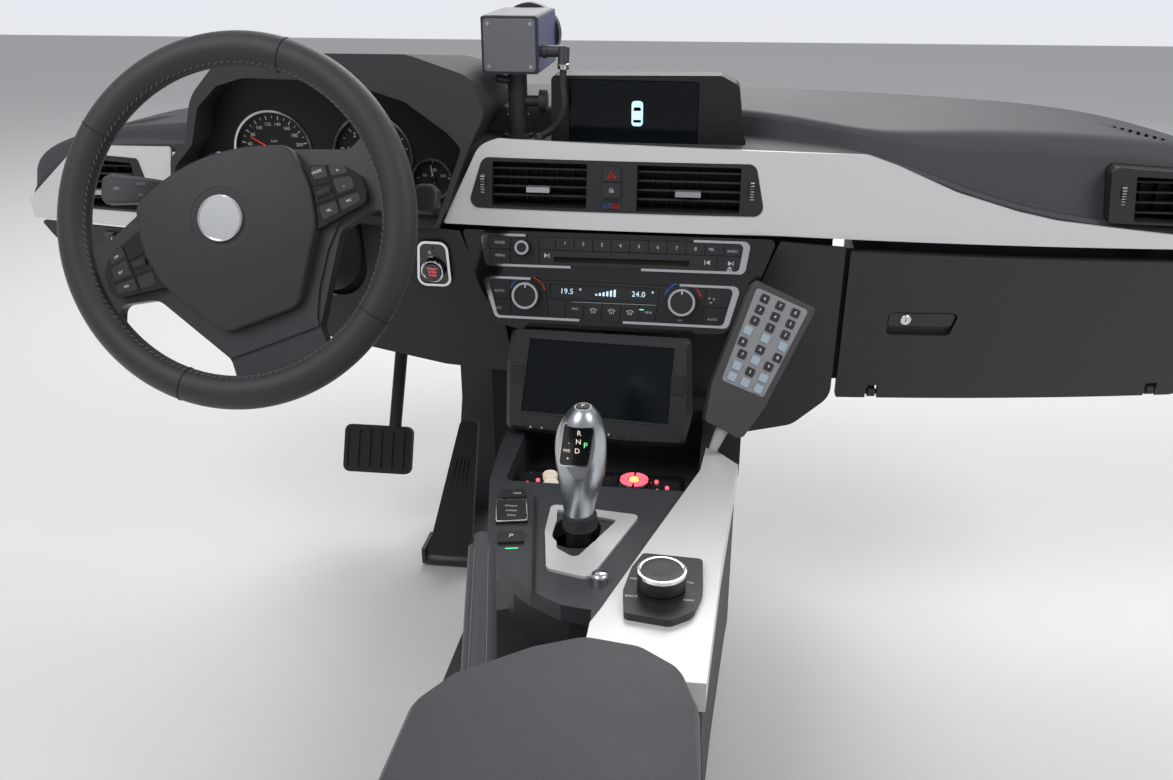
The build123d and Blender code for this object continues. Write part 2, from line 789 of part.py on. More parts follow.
def glove_hinge(x):
    """Where the lid's hinge line passes a place across."""
    (x0, y0), (x1, y1) = [(at, bow_y(at, GLOVE_HINGE_Z) + GLOVE_THICK / 2) for at in GLOVE_HINGES]
    return (x, y0 + (y1 - y0) * (x - x0) / (x1 - x0), GLOVE_HINGE_Z)


def hinge_box(x, wide, ahead, behind, low, high):
    y = glove_hinge(x)[1]
    return box_between((x - wide / 2, x + wide / 2), (y - ahead, y + behind), (low, high))


def glovebox_lid():
    lid = bow_panel(GLOVE_LID, [3, 10, 16, 16, 3], GLOVE_THICK)
    lid -= bow_panel(GLOVE_HANDLE, 6, 8, 1)
    for x in GLOVE_HINGES:
        ear_top = GLOVE_HINGE_Z + EAR_RADIUS + RUN_GAP
        lid -= hinge_box(x, EAR_WIDE + 2 * EAR_SIDE, 20, 20, GLOVE_BOTTOM - 1, ear_top)
        half = EAR_WIDE / 2 + EAR_SIDE + 5
        lid += rod(glove_hinge(x - half), glove_hinge(x + half), GLOVE_PIN)
    return lid


def glovebox_handle():
    return bow_panel(((309, -93), (384, -94), (380, -110), (309, -109)), 4, 6.7, 0)


def bin_profile(inset):
    """The bin's Y-Z outline, drawn in by its wall."""
    deep = GLOVE_BACK - inset
    low, high = BIN_BOTTOM + inset, BIN_TOP - inset
    near = BIN_FRONT - 20 if inset else BIN_FRONT
    return [(near, low), (near, high), (deep, high), (deep, -150), (deep - 30, low)]


FLANGE_THICK = 3
FLANGE_OUT = 18
FLANGE_BOTTOM = -187


def glovebox_flange():
    """The frame behind the lid's edges, round the mouth of the bin."""
    low, high = FLANGE_BOTTOM, GLOVE_TOP
    shape = (
        (LID_LEFT - FLANGE_OUT, low), (LID_LEFT - FLANGE_OUT, high), (LID_RIGHT + FLANGE_OUT, high - 20),
        (LID_RIGHT + FLANGE_OUT, low),
    )
    behind = GLOVE_THICK + RUN_GAP
    frame = bow_sweep(face_profile(shape, -behind, FLANGE_THICK)) & along_y(outline(shape, 6), -360, 0)
    mouth = box_between(
        (LID_LEFT + BIN_LEFT + BIN_WALL, LID_RIGHT - BIN_RIGHT - BIN_WALL), (-360, -100),
        (BIN_BOTTOM + BIN_WALL, BIN_TOP - BIN_WALL))
    return frame - mouth


def glovebox_bin():
    outer = along_x(outline(bin_profile(0), 8), LID_LEFT + BIN_LEFT, LID_RIGHT - BIN_RIGHT)
    inner = along_x(
        outline(bin_profile(BIN_WALL), 6), LID_LEFT + BIN_LEFT + BIN_WALL, LID_RIGHT - BIN_RIGHT - BIN_WALL)
    front = BOW_FRONT + GLOVE_THICK + RUN_GAP + FLANGE_THICK / 2
    ahead = bow_sweep([
        (front - 60, -240), (front + lean(-240), -240), (front, 0), (front - 60, 0),
    ])
    tray = (outer - inner - ahead).fuse(*glovebox_flange().solids()) - inner
    for x in GLOVE_HINGES:
        tray += hinge_box(x, EAR_WIDE, 0, 34, GLOVE_HINGE_Z - EAR_RADIUS, BIN_BOTTOM)
        tray += rod(glove_hinge(x - EAR_WIDE / 2), glove_hinge(x + EAR_WIDE / 2), EAR_RADIUS)
        tray -= rod(glove_hinge(x - EAR_WIDE), glove_hinge(x + EAR_WIDE), GLOVE_PIN + SEAT_GAP)
    for x in BIN_FEET:
        tray += beam_saddle(x, BIN_TOP - BIN_WALL / 2)
    return tray


# Column

def steering_column():
    tube = column_rod(64, COLUMN_LENGTH, COLUMN_RADIUS)
    return tube - column_rod(60, COLUMN_LENGTH + 5, SHAFT_RADIUS + 0.5)


def column_shroud():
    shell = loft([shroud_section(SHROUD_NEAR, SHROUD_START), shroud_section(SHROUD_FAR, SHROUD_END)])
    return shell - column_rod(SHROUD_START - 5, SHROUD_END + 5, COLUMN_RADIUS + SEAT_GAP)


def stalk(side):
    reach = {"left": -1, "right": 1}[side]
    root = place_on(WHEEL_PLANE, reach * 47, 30, -84)
    tip = place_on(WHEEL_PLANE, reach * 130, 36, -78)
    arm = rod(root, tip, 7)
    end = WHEEL_PLANE * Pos(reach * 156, 38, -77) * Box(58, 28, 14)
    return arm + end - column_shroud()


# Steering wheel

def on_wheel(face, low, high):
    """Extrude a flat outline, drawn straight ahead, at the turn the wheel stands at."""
    return extrude(WHEEL_PLANE.offset(low) * Rot(0, 0, WHEEL_TURN) * face, amount=high - low)


# x, y and corner radius, the right-hand half from the top down
COVER = ((0, 72, 200), (84, 46, 14), (92, 4, 80), (84, -38, 60), (40, -104, 20))
PACK = ((80, 26, 2), (127, 10, 5), (140, -4, 8), (141, -23, 6), (137, -32, 3), (76, -41, 2))
BEZEL = ((137, -32, 1), (103, -38.5, 14), (83, -60, 20), (62, -92, 40), (50, -118, 8), (50, -127, 3))
UPPER_WINDOW = ((120, 175, 1), (165, 38, 1), (136, 24, 14), (84, 44, 20))
LOWER_WINDOW = ((143, -37, 10), (101, -46, 20), (49, -128, 16), (50, -150, 5), (90, -150, 1), (160, -80, 1))
PACK_GROOVES = (((91, 0), (132, -5)), ((89, -18), (133, -18)), ((112, 13), (110, -34)))


def cover_face(grow=0):
    face = rounded(mirrored(COVER))
    return offset(face, grow) if grow else face


def pack_face(side, grow=0):
    face = rounded([(side * x, y, r) for x, y, r in PACK])
    return (offset(face, grow) if grow else face) - cover_face(SEAT_GAP)


def web_face():
    face = Circle(WEB_RADIUS) - rounded(mirrored(UPPER_WINDOW))
    for side in (-1, 1):
        face -= rounded([(side * x, y, r) for x, y, r in LOWER_WINDOW])
    return face


def bezel_face():
    face = rounded(mirrored(BEZEL)) - cover_face(SEAT_GAP)
    return face - pack_face(-1, SEAT_GAP) - pack_face(1, SEAT_GAP)


def rim_ring(grow=0):
    section = Ellipse(RIM_ACROSS / 2 + grow, RIM_DEEP / 2 + grow)
    ring = revolve(Pos(RIM_RADIUS, 0, 0) * Rot(90, 0, 0) * section, Axis.Z)
    return WHEEL_PLANE * ring


def wheel_spokes():
    web = on_wheel(web_face(), WEB_BACK, COVER_BASE)
    bezel = on_wheel(bezel_face(), COVER_BASE, COVER_BASE + BEZEL_HIGH)
    hub = column_rod(-WEB_BACK, HUB_END, HUB_RADIUS)
    shaft = column_rod(HUB_END - 1, 120, SHAFT_RADIUS)
    return (web - rim_ring()).fuse(bezel, hub, shaft)


def airbag_cover():
    block = on_wheel(cover_face(), COVER_BASE, COVER_HIGH + 4)
    dome = WHEEL_PLANE.offset(COVER_HIGH - COVER_DOME) * Sphere(COVER_DOME)
    block = block & dome
    block = fillet(block.faces().filter_by(GeomType.SPHERE).edges(), COVER_EDGE)
    pocket_floor = WHEEL_PLANE.offset(COVER_HIGH - EMBLEM_SEAT)
    pocket = extrude(pocket_floor * Circle(EMBLEM_RADIUS + SEAT_GAP), amount=10)
    ring = extrude(WHEEL_PLANE.offset(COVER_HIGH - EMBLEM_PROUD) * Circle(EMBLEM_RING), amount=10)
    return block - pocket - ring


def wheel_emblem():
    seat = WHEEL_PLANE.offset(COVER_HIGH - EMBLEM_SEAT)
    return extrude(seat * Circle(EMBLEM_RADIUS), amount=EMBLEM_SEAT + EMBLEM_PROUD)


def switch_pack(side):
    across = {"left": -1, "right": 1}[side]
    top = COVER_BASE + PACK_HIGH
    pack = on_wheel(pack_face(across), COVER_BASE, top)
    for start, end in PACK_GROOVES:
        line = groove((across * start[0], start[1]), (across * end[0], end[1]), GROOVE_WIDE)
        pack -= on_wheel(line, top - GROOVE_DEEP, top + 1)
    return pack


# Console

PANEL_EDGE = (
    (-117, -420), (-111, -502), (-95, -582), (-86, -627), (-70, -659), (-33, -694), (-3, -712), (24, -716),
)
TRIM_EDGE = ((27, -747), (33, -729), (65, -614), (106, -470))
TRAY = ((-95, -500), (96, -500), (104, -470), (104, -300), (-95, -300))
CONSOLE_TRIM = (
    (106, -470), (110, -418), (120, -422), (145, -454), (142, -488), (132, -640), (124, -812), (27, -812),
    (27, -747), (33, -729), (65, -614),
)
GATE = ((-38, -548, 6), (51, -558, 6), (17, -673, 8), (-24, -662, 8), (-36, -598, 30))
GATE_HOLE = ((-31, -557, 3), (30, -571, 3), (0, -643, 6), (-20, -628, 6))
GATE_HIGH = 3
NECK_HOLE = (44, 58, 20)


def console_body():
    plan = [
        (-115, HVAC_FRONT), (-115, -420), (-103, -543), (-62, -630), (0, -688), (30, -700), (30, -812),
        (122, -812), (130, -640), (140, -488), (143, -454), (118, -420), (118, HVAC_FRONT),
    ]
    body = along_z(outline(plan, 6), CONSOLE_FLOOR, CONSOLE_TOP - CONSOLE_RIM)
    deck = [(-112, CONSOLE_BACK), (124, CONSOLE_BACK), (122, -800), (0, -640), (-62, -600), (-108, -620)]
    body += along_z(outline(deck, 6), CONSOLE_FLOOR, DECK_TOP)
    body -= along_z(outline(TRAY, 8), CONSOLE_TOP - CONSOLE_RIM - TRAY_DEEP, CONSOLE_TOP)
    body -= Pos(SELECTOR_PIVOT[0], SELECTOR_PIVOT[1], -260) * Box(SELECTOR_PIN + 2 * SEAT_GAP, 76, 80)
    return body


def lever_frame():
    lean = math.atan2(LEVER_PIVOT[0] - LEVER_TIP[0], LEVER_TIP[1] - LEVER_PIVOT[1])
    return Plane(LEVER_PIVOT, x_dir=(math.cos(lean), math.sin(lean), 0), z_dir=(0, 0, 1))


def handbrake_bracket():
    frame = lever_frame()
    lugs = []
    for side in (-1, 1):
        high = LEVER_PIVOT[2] - DECK_TOP
        lug = frame * Pos(side * 11, 0, 4 - high / 2) * Box(5, 34, high + 8)
        lugs.append(lug)
    hole = frame * Rot(0, 90, 0) * Cylinder(LEVER_PIN + 0.3, 60)
    return [lug - hole for lug in lugs]


def handbrake_lever():
    frame = lever_frame()
    reach = math.dist(LEVER_PIVOT, LEVER_TIP)
    rise = math.degrees(math.asin((LEVER_TIP[2] - LEVER_PIVOT[2]) / reach))
    along = frame * Rot(rise, 0, 0)
    arm = along * Pos(0, (reach - GRIP_LENGTH) / 2, 0) * Box(9, reach - GRIP_LENGTH + 16, 16)
    start = along * Pos(0, reach - GRIP_LENGTH, 0) * Rot(-90, 0, 0)
    grip = loft([start * Circle(GRIP_RADIUS), start * Pos(0, 0, GRIP_LENGTH) * Circle(GRIP_TIP_RADIUS)])
    button = extrude(start * Pos(0, 0, GRIP_LENGTH) * Circle(7), amount=12)
    pin = frame * Rot(0, 90, 0) * Cylinder(LEVER_PIN, 30)
    return arm + grip + button + pin


def selector_panel():
    back = [(106, -418), (117, -410), (117, HVAC_FRONT), (-117, HVAC_FRONT)]
    plan = list(PANEL_EDGE) + list(TRIM_EDGE) + back
    panel = along_z(outline(plan), CONSOLE_TOP - CONSOLE_RIM, CONSOLE_TOP)
    panel -= along_z(outline(TRAY, 8), CONSOLE_TOP - 60, CONSOLE_TOP + 10)
    return panel - neck_hole()


def neck_hole():
    """The round-ended hole that the selector's neck moves in."""
    x, y, z = SELECTOR_PIVOT
    wide, long, corner = NECK_HOLE
    return along_z(Pos(x, y) * RectangleRounded(wide, long, corner), CONSOLE_TOP - 30, CONSOLE_TOP + 30)


def gate_frame():
    frame = along_z(rounded(GATE), CONSOLE_TOP, CONSOLE_TOP + GATE_HIGH)
    frame -= along_z(rounded(GATE_HOLE), CONSOLE_TOP - 1, CONSOLE_TOP + GATE_HIGH + 1)
    return frame - neck_hole()


def console_trim():
    return along_z(outline(CONSOLE_TRIM), CONSOLE_TOP - CONSOLE_RIM, CONSOLE_TRIM_TOP)


PLINTH = (
    (62, -648, 5), (115, -651, 5), (117, -699, 30), (110, -732, 20), (92, -746, 10), (54, -740, 5),
    (50, -708, 20), (54, -672, 8),
)
PLINTH_HIGH = 7
KNOB_PLACE = (82, -703)
KNOB_RADIUS = 20.5
KNOB_HIGH = 20


def controller():
    top = CONSOLE_TRIM_TOP + PLINTH_HIGH
    base = along_z(rounded(PLINTH), CONSOLE_TRIM_TOP, top)
    knob = along_z(Pos(*KNOB_PLACE) * Circle(KNOB_RADIUS), top - 1, top + KNOB_HIGH)
    knob = fillet(knob.faces().sort_by(Axis.Z)[-1].edges(), 4)
    waist = along_z(Pos(*KNOB_PLACE) * Circle(KNOB_RADIUS + 1), top + 3, top + 5)
    waist -= along_z(Pos(*KNOB_PLACE) * Circle(KNOB_RADIUS - 2), top + 2, top + 6)
    return base + (knob - waist)


MODE_KEYS = (
    # x, y, width, length
    (-80, -531, 26, 17), (-75, -565, 30, 42), (-66, -613, 24, 19),
)
MODE_KEY_TURN = 12
MODE_KEY_HIGH = 3


def console_switches():
    return [
        Pos(x, y, CONSOLE_TOP + MODE_KEY_HIGH / 2) * Rot(0, 0, MODE_KEY_TURN) * Box(wide, long, MODE_KEY_HIGH)
        for x, y, wide, long in MODE_KEYS
    ]


def chrome_button():
    return Pos(26, -672, CONSOLE_TOP + 2.5) * Cylinder(8, 5)


def button_panel():
    low = CONSOLE_TOP - CONSOLE_RIM - TRAY_DEEP
    bed = along_x(outline([(-496, low), (-430, low), (-430, low + 8), (-496, low + 14)]), -88, 92)
    pad = Pos(38, -466, low + 14) * Rot(-6, 0, 0) * Cylinder(16, 8)
    keys = [Pos(-56, -452, low + 13) * Cylinder(7, 8), Pos(-50, -472, low + 14) * Cylinder(7, 8)]
    return bed.fuse(pad, *keys)


# Gear selector

SELECTOR_SECTIONS = (
    # z, half width, half depth, shift in x
    (-199, 13.5, 13.5, 3), (-170, 18, 18, 3.5), (-141, 23, 22, 4.5), (-114, 23, 22, 4.5), (-94, 17, 18, 6),
    (SELECTOR_TOP, 8, 9, 6.5),
)
SELECTOR_NECK = 12
FACE_PLACE = (-611, -123)
FACE_LEAN = -9


def gear_selector():
    x, y, z = SELECTOR_PIVOT
    neck = rod((x, y, z), (x + 3, y, CONSOLE_TOP + 20), SELECTOR_NECK)
    faces = [Pos(x + move, y, high) * Ellipse(wide, deep) for high, wide, deep, move in SELECTOR_SECTIONS]
    pin = Pos(x, y, z) * Rot(0, 90, 0) * Cylinder(5, SELECTOR_PIN)
    flat = Pos(x, *FACE_PLACE) * Rot(FACE_LEAN, 0, 0) * Pos(0, -20, 0) * Box(80, 40, 54)
    return (loft(faces) - flat) + neck + pin


# Armrest

ARMREST_PLAN = (
    (-62, -1145, 16), (-60, -950, 26), (-42, -920, 14), (6, -884, 24), (40, -868, 16), (80, -874, 20),
    (108, -894, 16), (121, -930, 24), (124, -985, 30), (124, -1145, 16),
)
BOX_PLAN = (
    (-54, -1130), (114, -1130), (114, -940), (100, -905), (40, -882), (8, -896), (-34, -930), (-54, -955),
)
LID_EDGE = 9


def armrest_box():
    plan = outline(BOX_PLAN)
    box = along_z(plan, DECK_TOP, LID_BOTTOM - SEAT_GAP)
    bin_space = along_z(offset(plan, -ARMREST_WALL), DECK_TOP + ARMREST_WALL, LID_BOTTOM + 10)
    box -= bin_space
    for x in ARMREST_HINGES:
        ear = rod((x - 10, *ARMREST_AXIS), (x - 2, *ARMREST_AXIS), 6)
        axis_y, axis_z = ARMREST_AXIS
        web = box_between((x - 10, x - 2), (axis_y, -1129), (axis_z - 6, axis_z + 4))
        box += ear + web
    return box - rod((-80, *ARMREST_AXIS), (120, *ARMREST_AXIS), ARMREST_HINGE_RADIUS + 0.3)


def armrest_lid():
    lid = along_z(rounded(ARMREST_PLAN), LID_BOTTOM, LID_TOP)
    lid = fillet(lid.faces().sort_by(Axis.Z)[-1].edges(), LID_EDGE)
    y, z = ARMREST_AXIS
    for x in ARMREST_HINGES:
        lid += box_between((x, x + 8), (y - 5, y + 4), (z - 4, LID_BOTTOM + 1))
        lid += rod((x - 12, y, z), (x + 8, y, z), ARMREST_HINGE_RADIUS)
    return lid


def handbrake_boot():
    base = outline([(-88, -838), (-28, -846), (-34, -740), (-90, -740)], 12)
    block = extrude(Pos(0, 0, DECK_TOP) * base, amount=BOOT_HIGH)
    slot = outline([(-76, -832), (-40, -836), (-46, -750), (-80, -750)])
    return block - along_z(slot, DECK_TOP - 1, DECK_TOP + 60)


# Pedals

def pedal_bracket():
    x, y, z = BRAKE_PIVOT
    cheeks = []
    for side in (-1, 1):
        cheek = outline([(-95, -110), (-30, -110), (y + 24, z - 14), (y - 24, z - 14)], 8)
        left = x + side * 20
        cheeks.append(along_x(cheek, left - 2, left + 2))
    top = box_between((x - 72, x + 110), (-100, -25), (-112, -106))
    hole = rod((x - 60, y, z), (x + 60, y, z), PEDAL_PIN + 0.3)
    hangers = []
    for left in (x - 70, x + 62):
        plate = along_x(outline([
            (BEAM_Y - 20, -20), (BEAM_Y + 34, -6), (BEAM_Y + 34, -40), (-40, -107), (-95, -107),
        ]), left, left + 5)
        hangers.append(plate - rod((left - 1, BEAM_Y, 0), (left + 6, BEAM_Y, 0), BEAM_RADIUS + SEAT_GAP))
    return top.fuse(*cheeks, *hangers) - hole


def brake_pedal():
    x, y, z = BRAKE_PIVOT
    px, py, pz = BRAKE_PAD
    stand = Pos(px, py, pz) * Rot(BRAKE_PAD_LEAN, 0, 0)
    pad = fillet(Box(BRAKE_PAD_WIDE, 12, BRAKE_PAD_HIGH).edges().filter_by(Axis.Y), 10)
    for i in range(BRAKE_RIBS):
        x_rib = BRAKE_PAD_WIDE * ((i + 0.5) / BRAKE_RIBS - 0.5)
        pad -= Pos(x_rib, -6, 0) * Box(BRAKE_PAD_WIDE / BRAKE_RIBS / 3, 4, BRAKE_PAD_HIGH - 16)
    pad = stand * pad
    arm = rod((x, y, z), (px + 20, py + 12, pz + 6), 9)
    pin = rod((x - 26, y, z), (x + 26, y, z), PEDAL_PIN)
    return pad + arm + pin


def accelerator_pedal():
    start, end = Vector(*THROTTLE_HINGE), Vector(*THROTTLE_TOP)
    low = [(start.X - 32, start.Z - 2), (start.X + 32, start.Z - 2), (end.X + 14, end.Z), (end.X - 12, end.Z)]
    side = outline([
        (start.Y - 6, start.Z - 2), (start.Y + 4, start.Z - 2), (end.Y + 4, end.Z), (end.Y - 6, end.Z),
    ])
    pedal = along_y(outline(low, 6), -300, 0) & along_x(side, -400, -100)
    for i in range(THROTTLE_RIBS):
        share = (i + 1) / (THROTTLE_RIBS + 1)
        foot = start.X - 26 + 52 * share, start.Y - 6, start.Z + 14
        head = end.X - 8 + 18 * share, end.Y - 6, end.Z - 10
        pedal -= rod(foot, head, 1.5)
    pin = rod((start.X - 38, start.Y, start.Z), (start.X + 38, start.Y, start.Z), 4)
    return pedal + pin


def accelerator_base():
    start, end = Vector(*THROTTLE_HINGE), Vector(*THROTTLE_TOP)
    plate = outline([
        (start.X - 30, start.Z - 12), (start.X + 30, start.Z - 12), (end.X + 24, end.Z), (end.X + 24, -110),
        (end.X - 30, -110), (end.X - 30, end.Z),
    ])
    back = along_y(plate, -36, -30)
    foot = box_between((start.X - 39, start.X + 39), (start.Y - 8, -30), (start.Z - 16, start.Z - 10))
    ears = []
    for side in (-1, 1):
        middle = start.X + side * 37
        ears.append(box_between(
            (middle - 2.5, middle + 2.5), (start.Y - 8, start.Y + 40), (start.Z - 16, start.Z + 8)))
    hole = rod((start.X - 60, start.Y, start.Z), (start.X + 60, start.Y, start.Z), 4.3)
    return back.fuse(foot, *ears) - hole


# Police equipment

MONITOR_SHAPE = (
    (-100, 58), (101, 59), (106, -24), (101, -60), (32, -62), (-101, -54), (-104, 20),
)
MONITOR_BEVEL = 5
MONITOR_CLIPS = ((-90, 10), (90, 8))
MONITOR_CLIP = (15, 21, 1.2)
MONITOR_SCREEN = ((-78, 49), (84, 48), (82, -36), (-84, -33))


def monitor():
    body = extrude(MONITOR_PLANE.offset(-MONITOR_DEEP) * outline(MONITOR_SHAPE, 8), amount=MONITOR_DEEP)
    front = body.faces().sort_by(Axis(MONITOR_PLANE.origin, MONITOR_PLANE.z_dir))[-1]
    body = chamfer(front.edges(), MONITOR_BEVEL)
    body -= extrude(MONITOR_PLANE.offset(-2) * outline(MONITOR_SCREEN, 2), amount=10)
    wide, high, proud = MONITOR_CLIP
    clips = [extrude(MONITOR_PLANE.offset(-1) * Pos(x, z) * Rectangle(wide, high), amount=1 + proud)
             for x, z in MONITOR_CLIPS]
    return body.fuse(*clips)


def monitor_bracket():
    back = place_on(MONITOR_PLANE, 0, 0, -MONITOR_DEEP - 4)
    arm = rod(back, (back[0], HVAC_FRONT + 20, -135), 12)
    arm -= box_between((-80, 80), (HVAC_FRONT, HVAC_FRONT + 80), (-200, -80))
    arm -= extrude(MONITOR_PLANE.offset(-MONITOR_DEEP - 3) * Rectangle(200, 200), amount=60)
    plate = extrude(MONITOR_PLANE.offset(-MONITOR_DEEP - 6) * RectangleRounded(80, 50, 6), amount=6)
    return arm + plate


REMOTE_TOP = (186, -357, -47)
REMOTE_BOTTOM = (128, -433, -175)
REMOTE_THICK = 22
HOLDER_THICK = 4
HOLDER_UP = 92
HOLDER_FOOT = (192, -112)


def remote_plane():
    up = Vector(*REMOTE_TOP) - Vector(*REMOTE_BOTTOM)
    across = Vector(66, -3, -32)
    return Plane(REMOTE_BOTTOM, x_dir=across - up * (across.dot(up) / up.dot(up)), z_dir=across.cross(up))


def keypad_remote():
    long = math.dist(REMOTE_TOP, REMOTE_BOTTOM)
    shape = outline([(-22, 0), (22, 0), (30, 40), (37, long), (-37, long), (-32, 40)], 5)
    return extrude(remote_plane().offset(-REMOTE_THICK) * shape, amount=REMOTE_THICK)


REMOTE_ROWS = (
    # height up the case, offset of the outer columns
    (55, 15.5), (67.5, 15.5), (81, 15.5), (93.5, 20.5), (106.8, 20.5), (119.3, 18), (132.3, 18), (145.3, 18),
)
REMOTE_KEY = (9, 1.5)
REMOTE_KEY_HIGH = 1.2


def remote_keys():
    side, corner = REMOTE_KEY
    plane = remote_plane()
    return [
        extrude(plane * Pos(across, up) * RectangleRounded(side, side, corner), amount=REMOTE_KEY_HIGH)
        for up, out in REMOTE_ROWS for across in (-out, 0, out)
    ]


def remote_relief():
    base = remote_plane().offset(-REMOTE_THICK / 2) * Rot(90, 0, 0)
    return loft([base * Circle(7), base * Pos(0, 0, 24) * Circle(4.5)])


def remote_holder():
    plane = remote_plane()
    seat = -REMOTE_THICK - SEAT_GAP - HOLDER_THICK
    plate = extrude(plane.offset(seat) * Pos(0, HOLDER_UP) * RectangleRounded(54, 70, 6), amount=HOLDER_THICK)
    x, z = HOLDER_FOOT
    foot = rod((x, bow_y(x, z) - 6, z), (x, bow_y(x, z) + 8, z), 17)
    arm = rod(place_on(plane, 0, HOLDER_UP, seat), (x, bow_y(x, z) - 3, z), 6)
    face = BOW_FRONT - SEAT_GAP
    behind = bow_sweep([(face + lean(-180), -180), (face + lean(-40), -40), (-200, -40), (-200, -180)])
    return plate.fuse(foot, arm) - behind


PLUG_PLACE = (-222, 184)
PLUG_RADIUS = 6.5
PLUG_REACH = 28
PLUG_END = (-71, -231, 166)


def camera_head():
    head = box_between(CAMERA_X, CAMERA_Y, CAMERA_Z)
    head = fillet(head.edges().filter_by(Axis.Y), 2)
    x, z = sum(CAMERA_X) / 2, sum(CAMERA_Z) / 2
    front = CAMERA_Y[1]
    lens = rod((x, front, z), (x, front + LENS_DEEP, z), LENS_RADIUS)
    for step, inset in ((4, 6), (8, 12)):
        lens -= rod((x, front + step, z), (x, front + LENS_DEEP + 1, z), LENS_RADIUS - inset)
    right = CAMERA_X[1]
    y, z = PLUG_PLACE
    plug = rod((right, y, z), (right + PLUG_REACH, y, z), PLUG_RADIUS)
    collar = rod((right + 4, y, z), (right + 8, y, z), PLUG_RADIUS + 1.5)
    elbow = rod((right + PLUG_REACH, y - 2, z + 4), PLUG_END, PLUG_RADIUS)
    return head.fuse(lens, plug, collar, elbow)


def camera_post():
    x, y = CAMERA_POST_X, CAMERA_POST_Y
    joint = CAMERA_Z[0] - 47
    foot = rod((x, y, CAMERA_FOOT_Z), (x, y, CAMERA_FOOT_Z + 7), CAMERA_FOOT_RADIUS)
    lower = rod((x, y, CAMERA_FOOT_Z), (x, y, joint - 2), CAMERA_POST_RADIUS + 0.8)
    upper = rod((x, y, joint - 3), (x, y, CAMERA_Z[0]), CAMERA_POST_RADIUS - 0.8)
    clamp = rod((x, y, 126), (x + 26, y, 126), 6.5)
    knob = rod((x + 26, y, 126), (x + 34, y, 126), 13)
    lever = rod((x, y, 148), (x - 22, y - 12, 153), 4.5)
    return foot.fuse(lower, upper, clamp, knob, lever)


CAMERA_CABLE = (
    PLUG_END, (-71, -236.25, 149.5), (-69, -241, 132), (-72, -242, 115), (-82, -240, 101), (-96, -239, 92),
)
CABLE_RADIUS = 4


def camera_cable():
    points = [Vector(*point) for point in CAMERA_CABLE]
    radii = []
    for before, corner, after in zip(points, points[1:], points[2:]):
        first, second = corner - before, after - corner
        turn = math.radians(first.get_angle(second))
        radii.append(0.45 * min(first.length, second.length) / math.tan(turn / 2))
    print("camera cable radii", [round(radius, 1) for radius in radii])
    path = FilletPolyline(*points, radius=radii)
    return sweep(Plane(points[0], z_dir=points[1] - points[0]) * Circle(CABLE_RADIUS), path)


NODES = {
    "cross_beam": cross_beam,
    "upper_pad": upper_pad,
    "cluster_hood": cluster_hood,
    "defroster_grilles": lambda: [defroster_grille("left"), defroster_grille("right")],
    "trim_main": trim_main,
    "trim_left": trim_left,
    "vent_left": lambda: vent("left", VENT_LEFT, 1, 6),
    "vent_centre": lambda: vent("centre", VENT_CENTRE, 1, 10),
    "vent_right": lambda: vent("right", VENT_RIGHT, 2, 4),
    "vent_tabs": vent_tabs,
    "hazard_block": hazard_block,
    "display_housing": display_housing,
    "display_screen": display_screen,
    "cluster_housing": cluster_housing,
    "cluster_rings": cluster_rings,
    "stack_fascia": stack_fascia,
    "radio_panel": radio_panel,
    "climate_panel": climate_panel,
    "bright_frames": bright_frames,
    "knee_panel": knee_panel,
    "dash_switches": lambda: [start_panel(), light_panel()],
    "filler_panel": filler_panel,
    "hvac_block": hvac_block,
    "glovebox_bin": glovebox_bin,
    "glovebox_lid": glovebox_lid,
    "glovebox_handle": glovebox_handle,
    "steering_column": steering_column,
    "column_shroud": column_shroud,
    "stalks": lambda: [stalk("left"), stalk("right")],
    "wheel_rim": rim_ring,
    "wheel_spokes": wheel_spokes,
    "airbag_cover": airbag_cover,
    "wheel_emblem": wheel_emblem,
    "wheel_switches": lambda: [switch_pack("left"), switch_pack("right")],
    "console_body": console_body,
    "selector_panel": selector_panel,
    "gate_frame": gate_frame,
    "console_trim": console_trim,
    "controller": controller,
    "console_switches": console_switches,
    "chrome_button": chrome_button,
    "button_panel": button_panel,
    "gear_selector": gear_selector,
    "armrest_box": armrest_box,
    "armrest_lid": armrest_lid,
    "handbrake_boot": handbrake_boot,
    "handbrake_bracket": handbrake_bracket,
    "handbrake_lever": handbrake_lever,
    "pedal_bracket": lambda: pedal_bracket() + accelerator_base(),
    "brake_pedal": brake_pedal,
    "accelerator_pedal": accelerator_pedal,
    "monitor": monitor,
    "monitor_bracket": monitor_bracket,
    "keypad_remote": keypad_remote,
    "remote_keys": remote_keys,
    "remote_relief": remote_relief,
    "remote_holder": remote_holder,
    "camera_head": camera_head,
    "camera_post": camera_post,
    "camera_cable": camera_cable,
}

if __name__ == "__main__":
    os.makedirs("parts", exist_ok=True)
    for name, make in NODES.items():
        made = make()
        solids = made if isinstance(made, list) else made.solids()
        shape = solids[0] if len(solids) == 1 else Compound(children=list(solids))
        shape.label = name
        export_step(shape, f"parts/{name}.step")
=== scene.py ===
import math

import bmesh
import bpy
from mathutils import Matrix, Vector
from mathutils.bvhtree import BVHTree


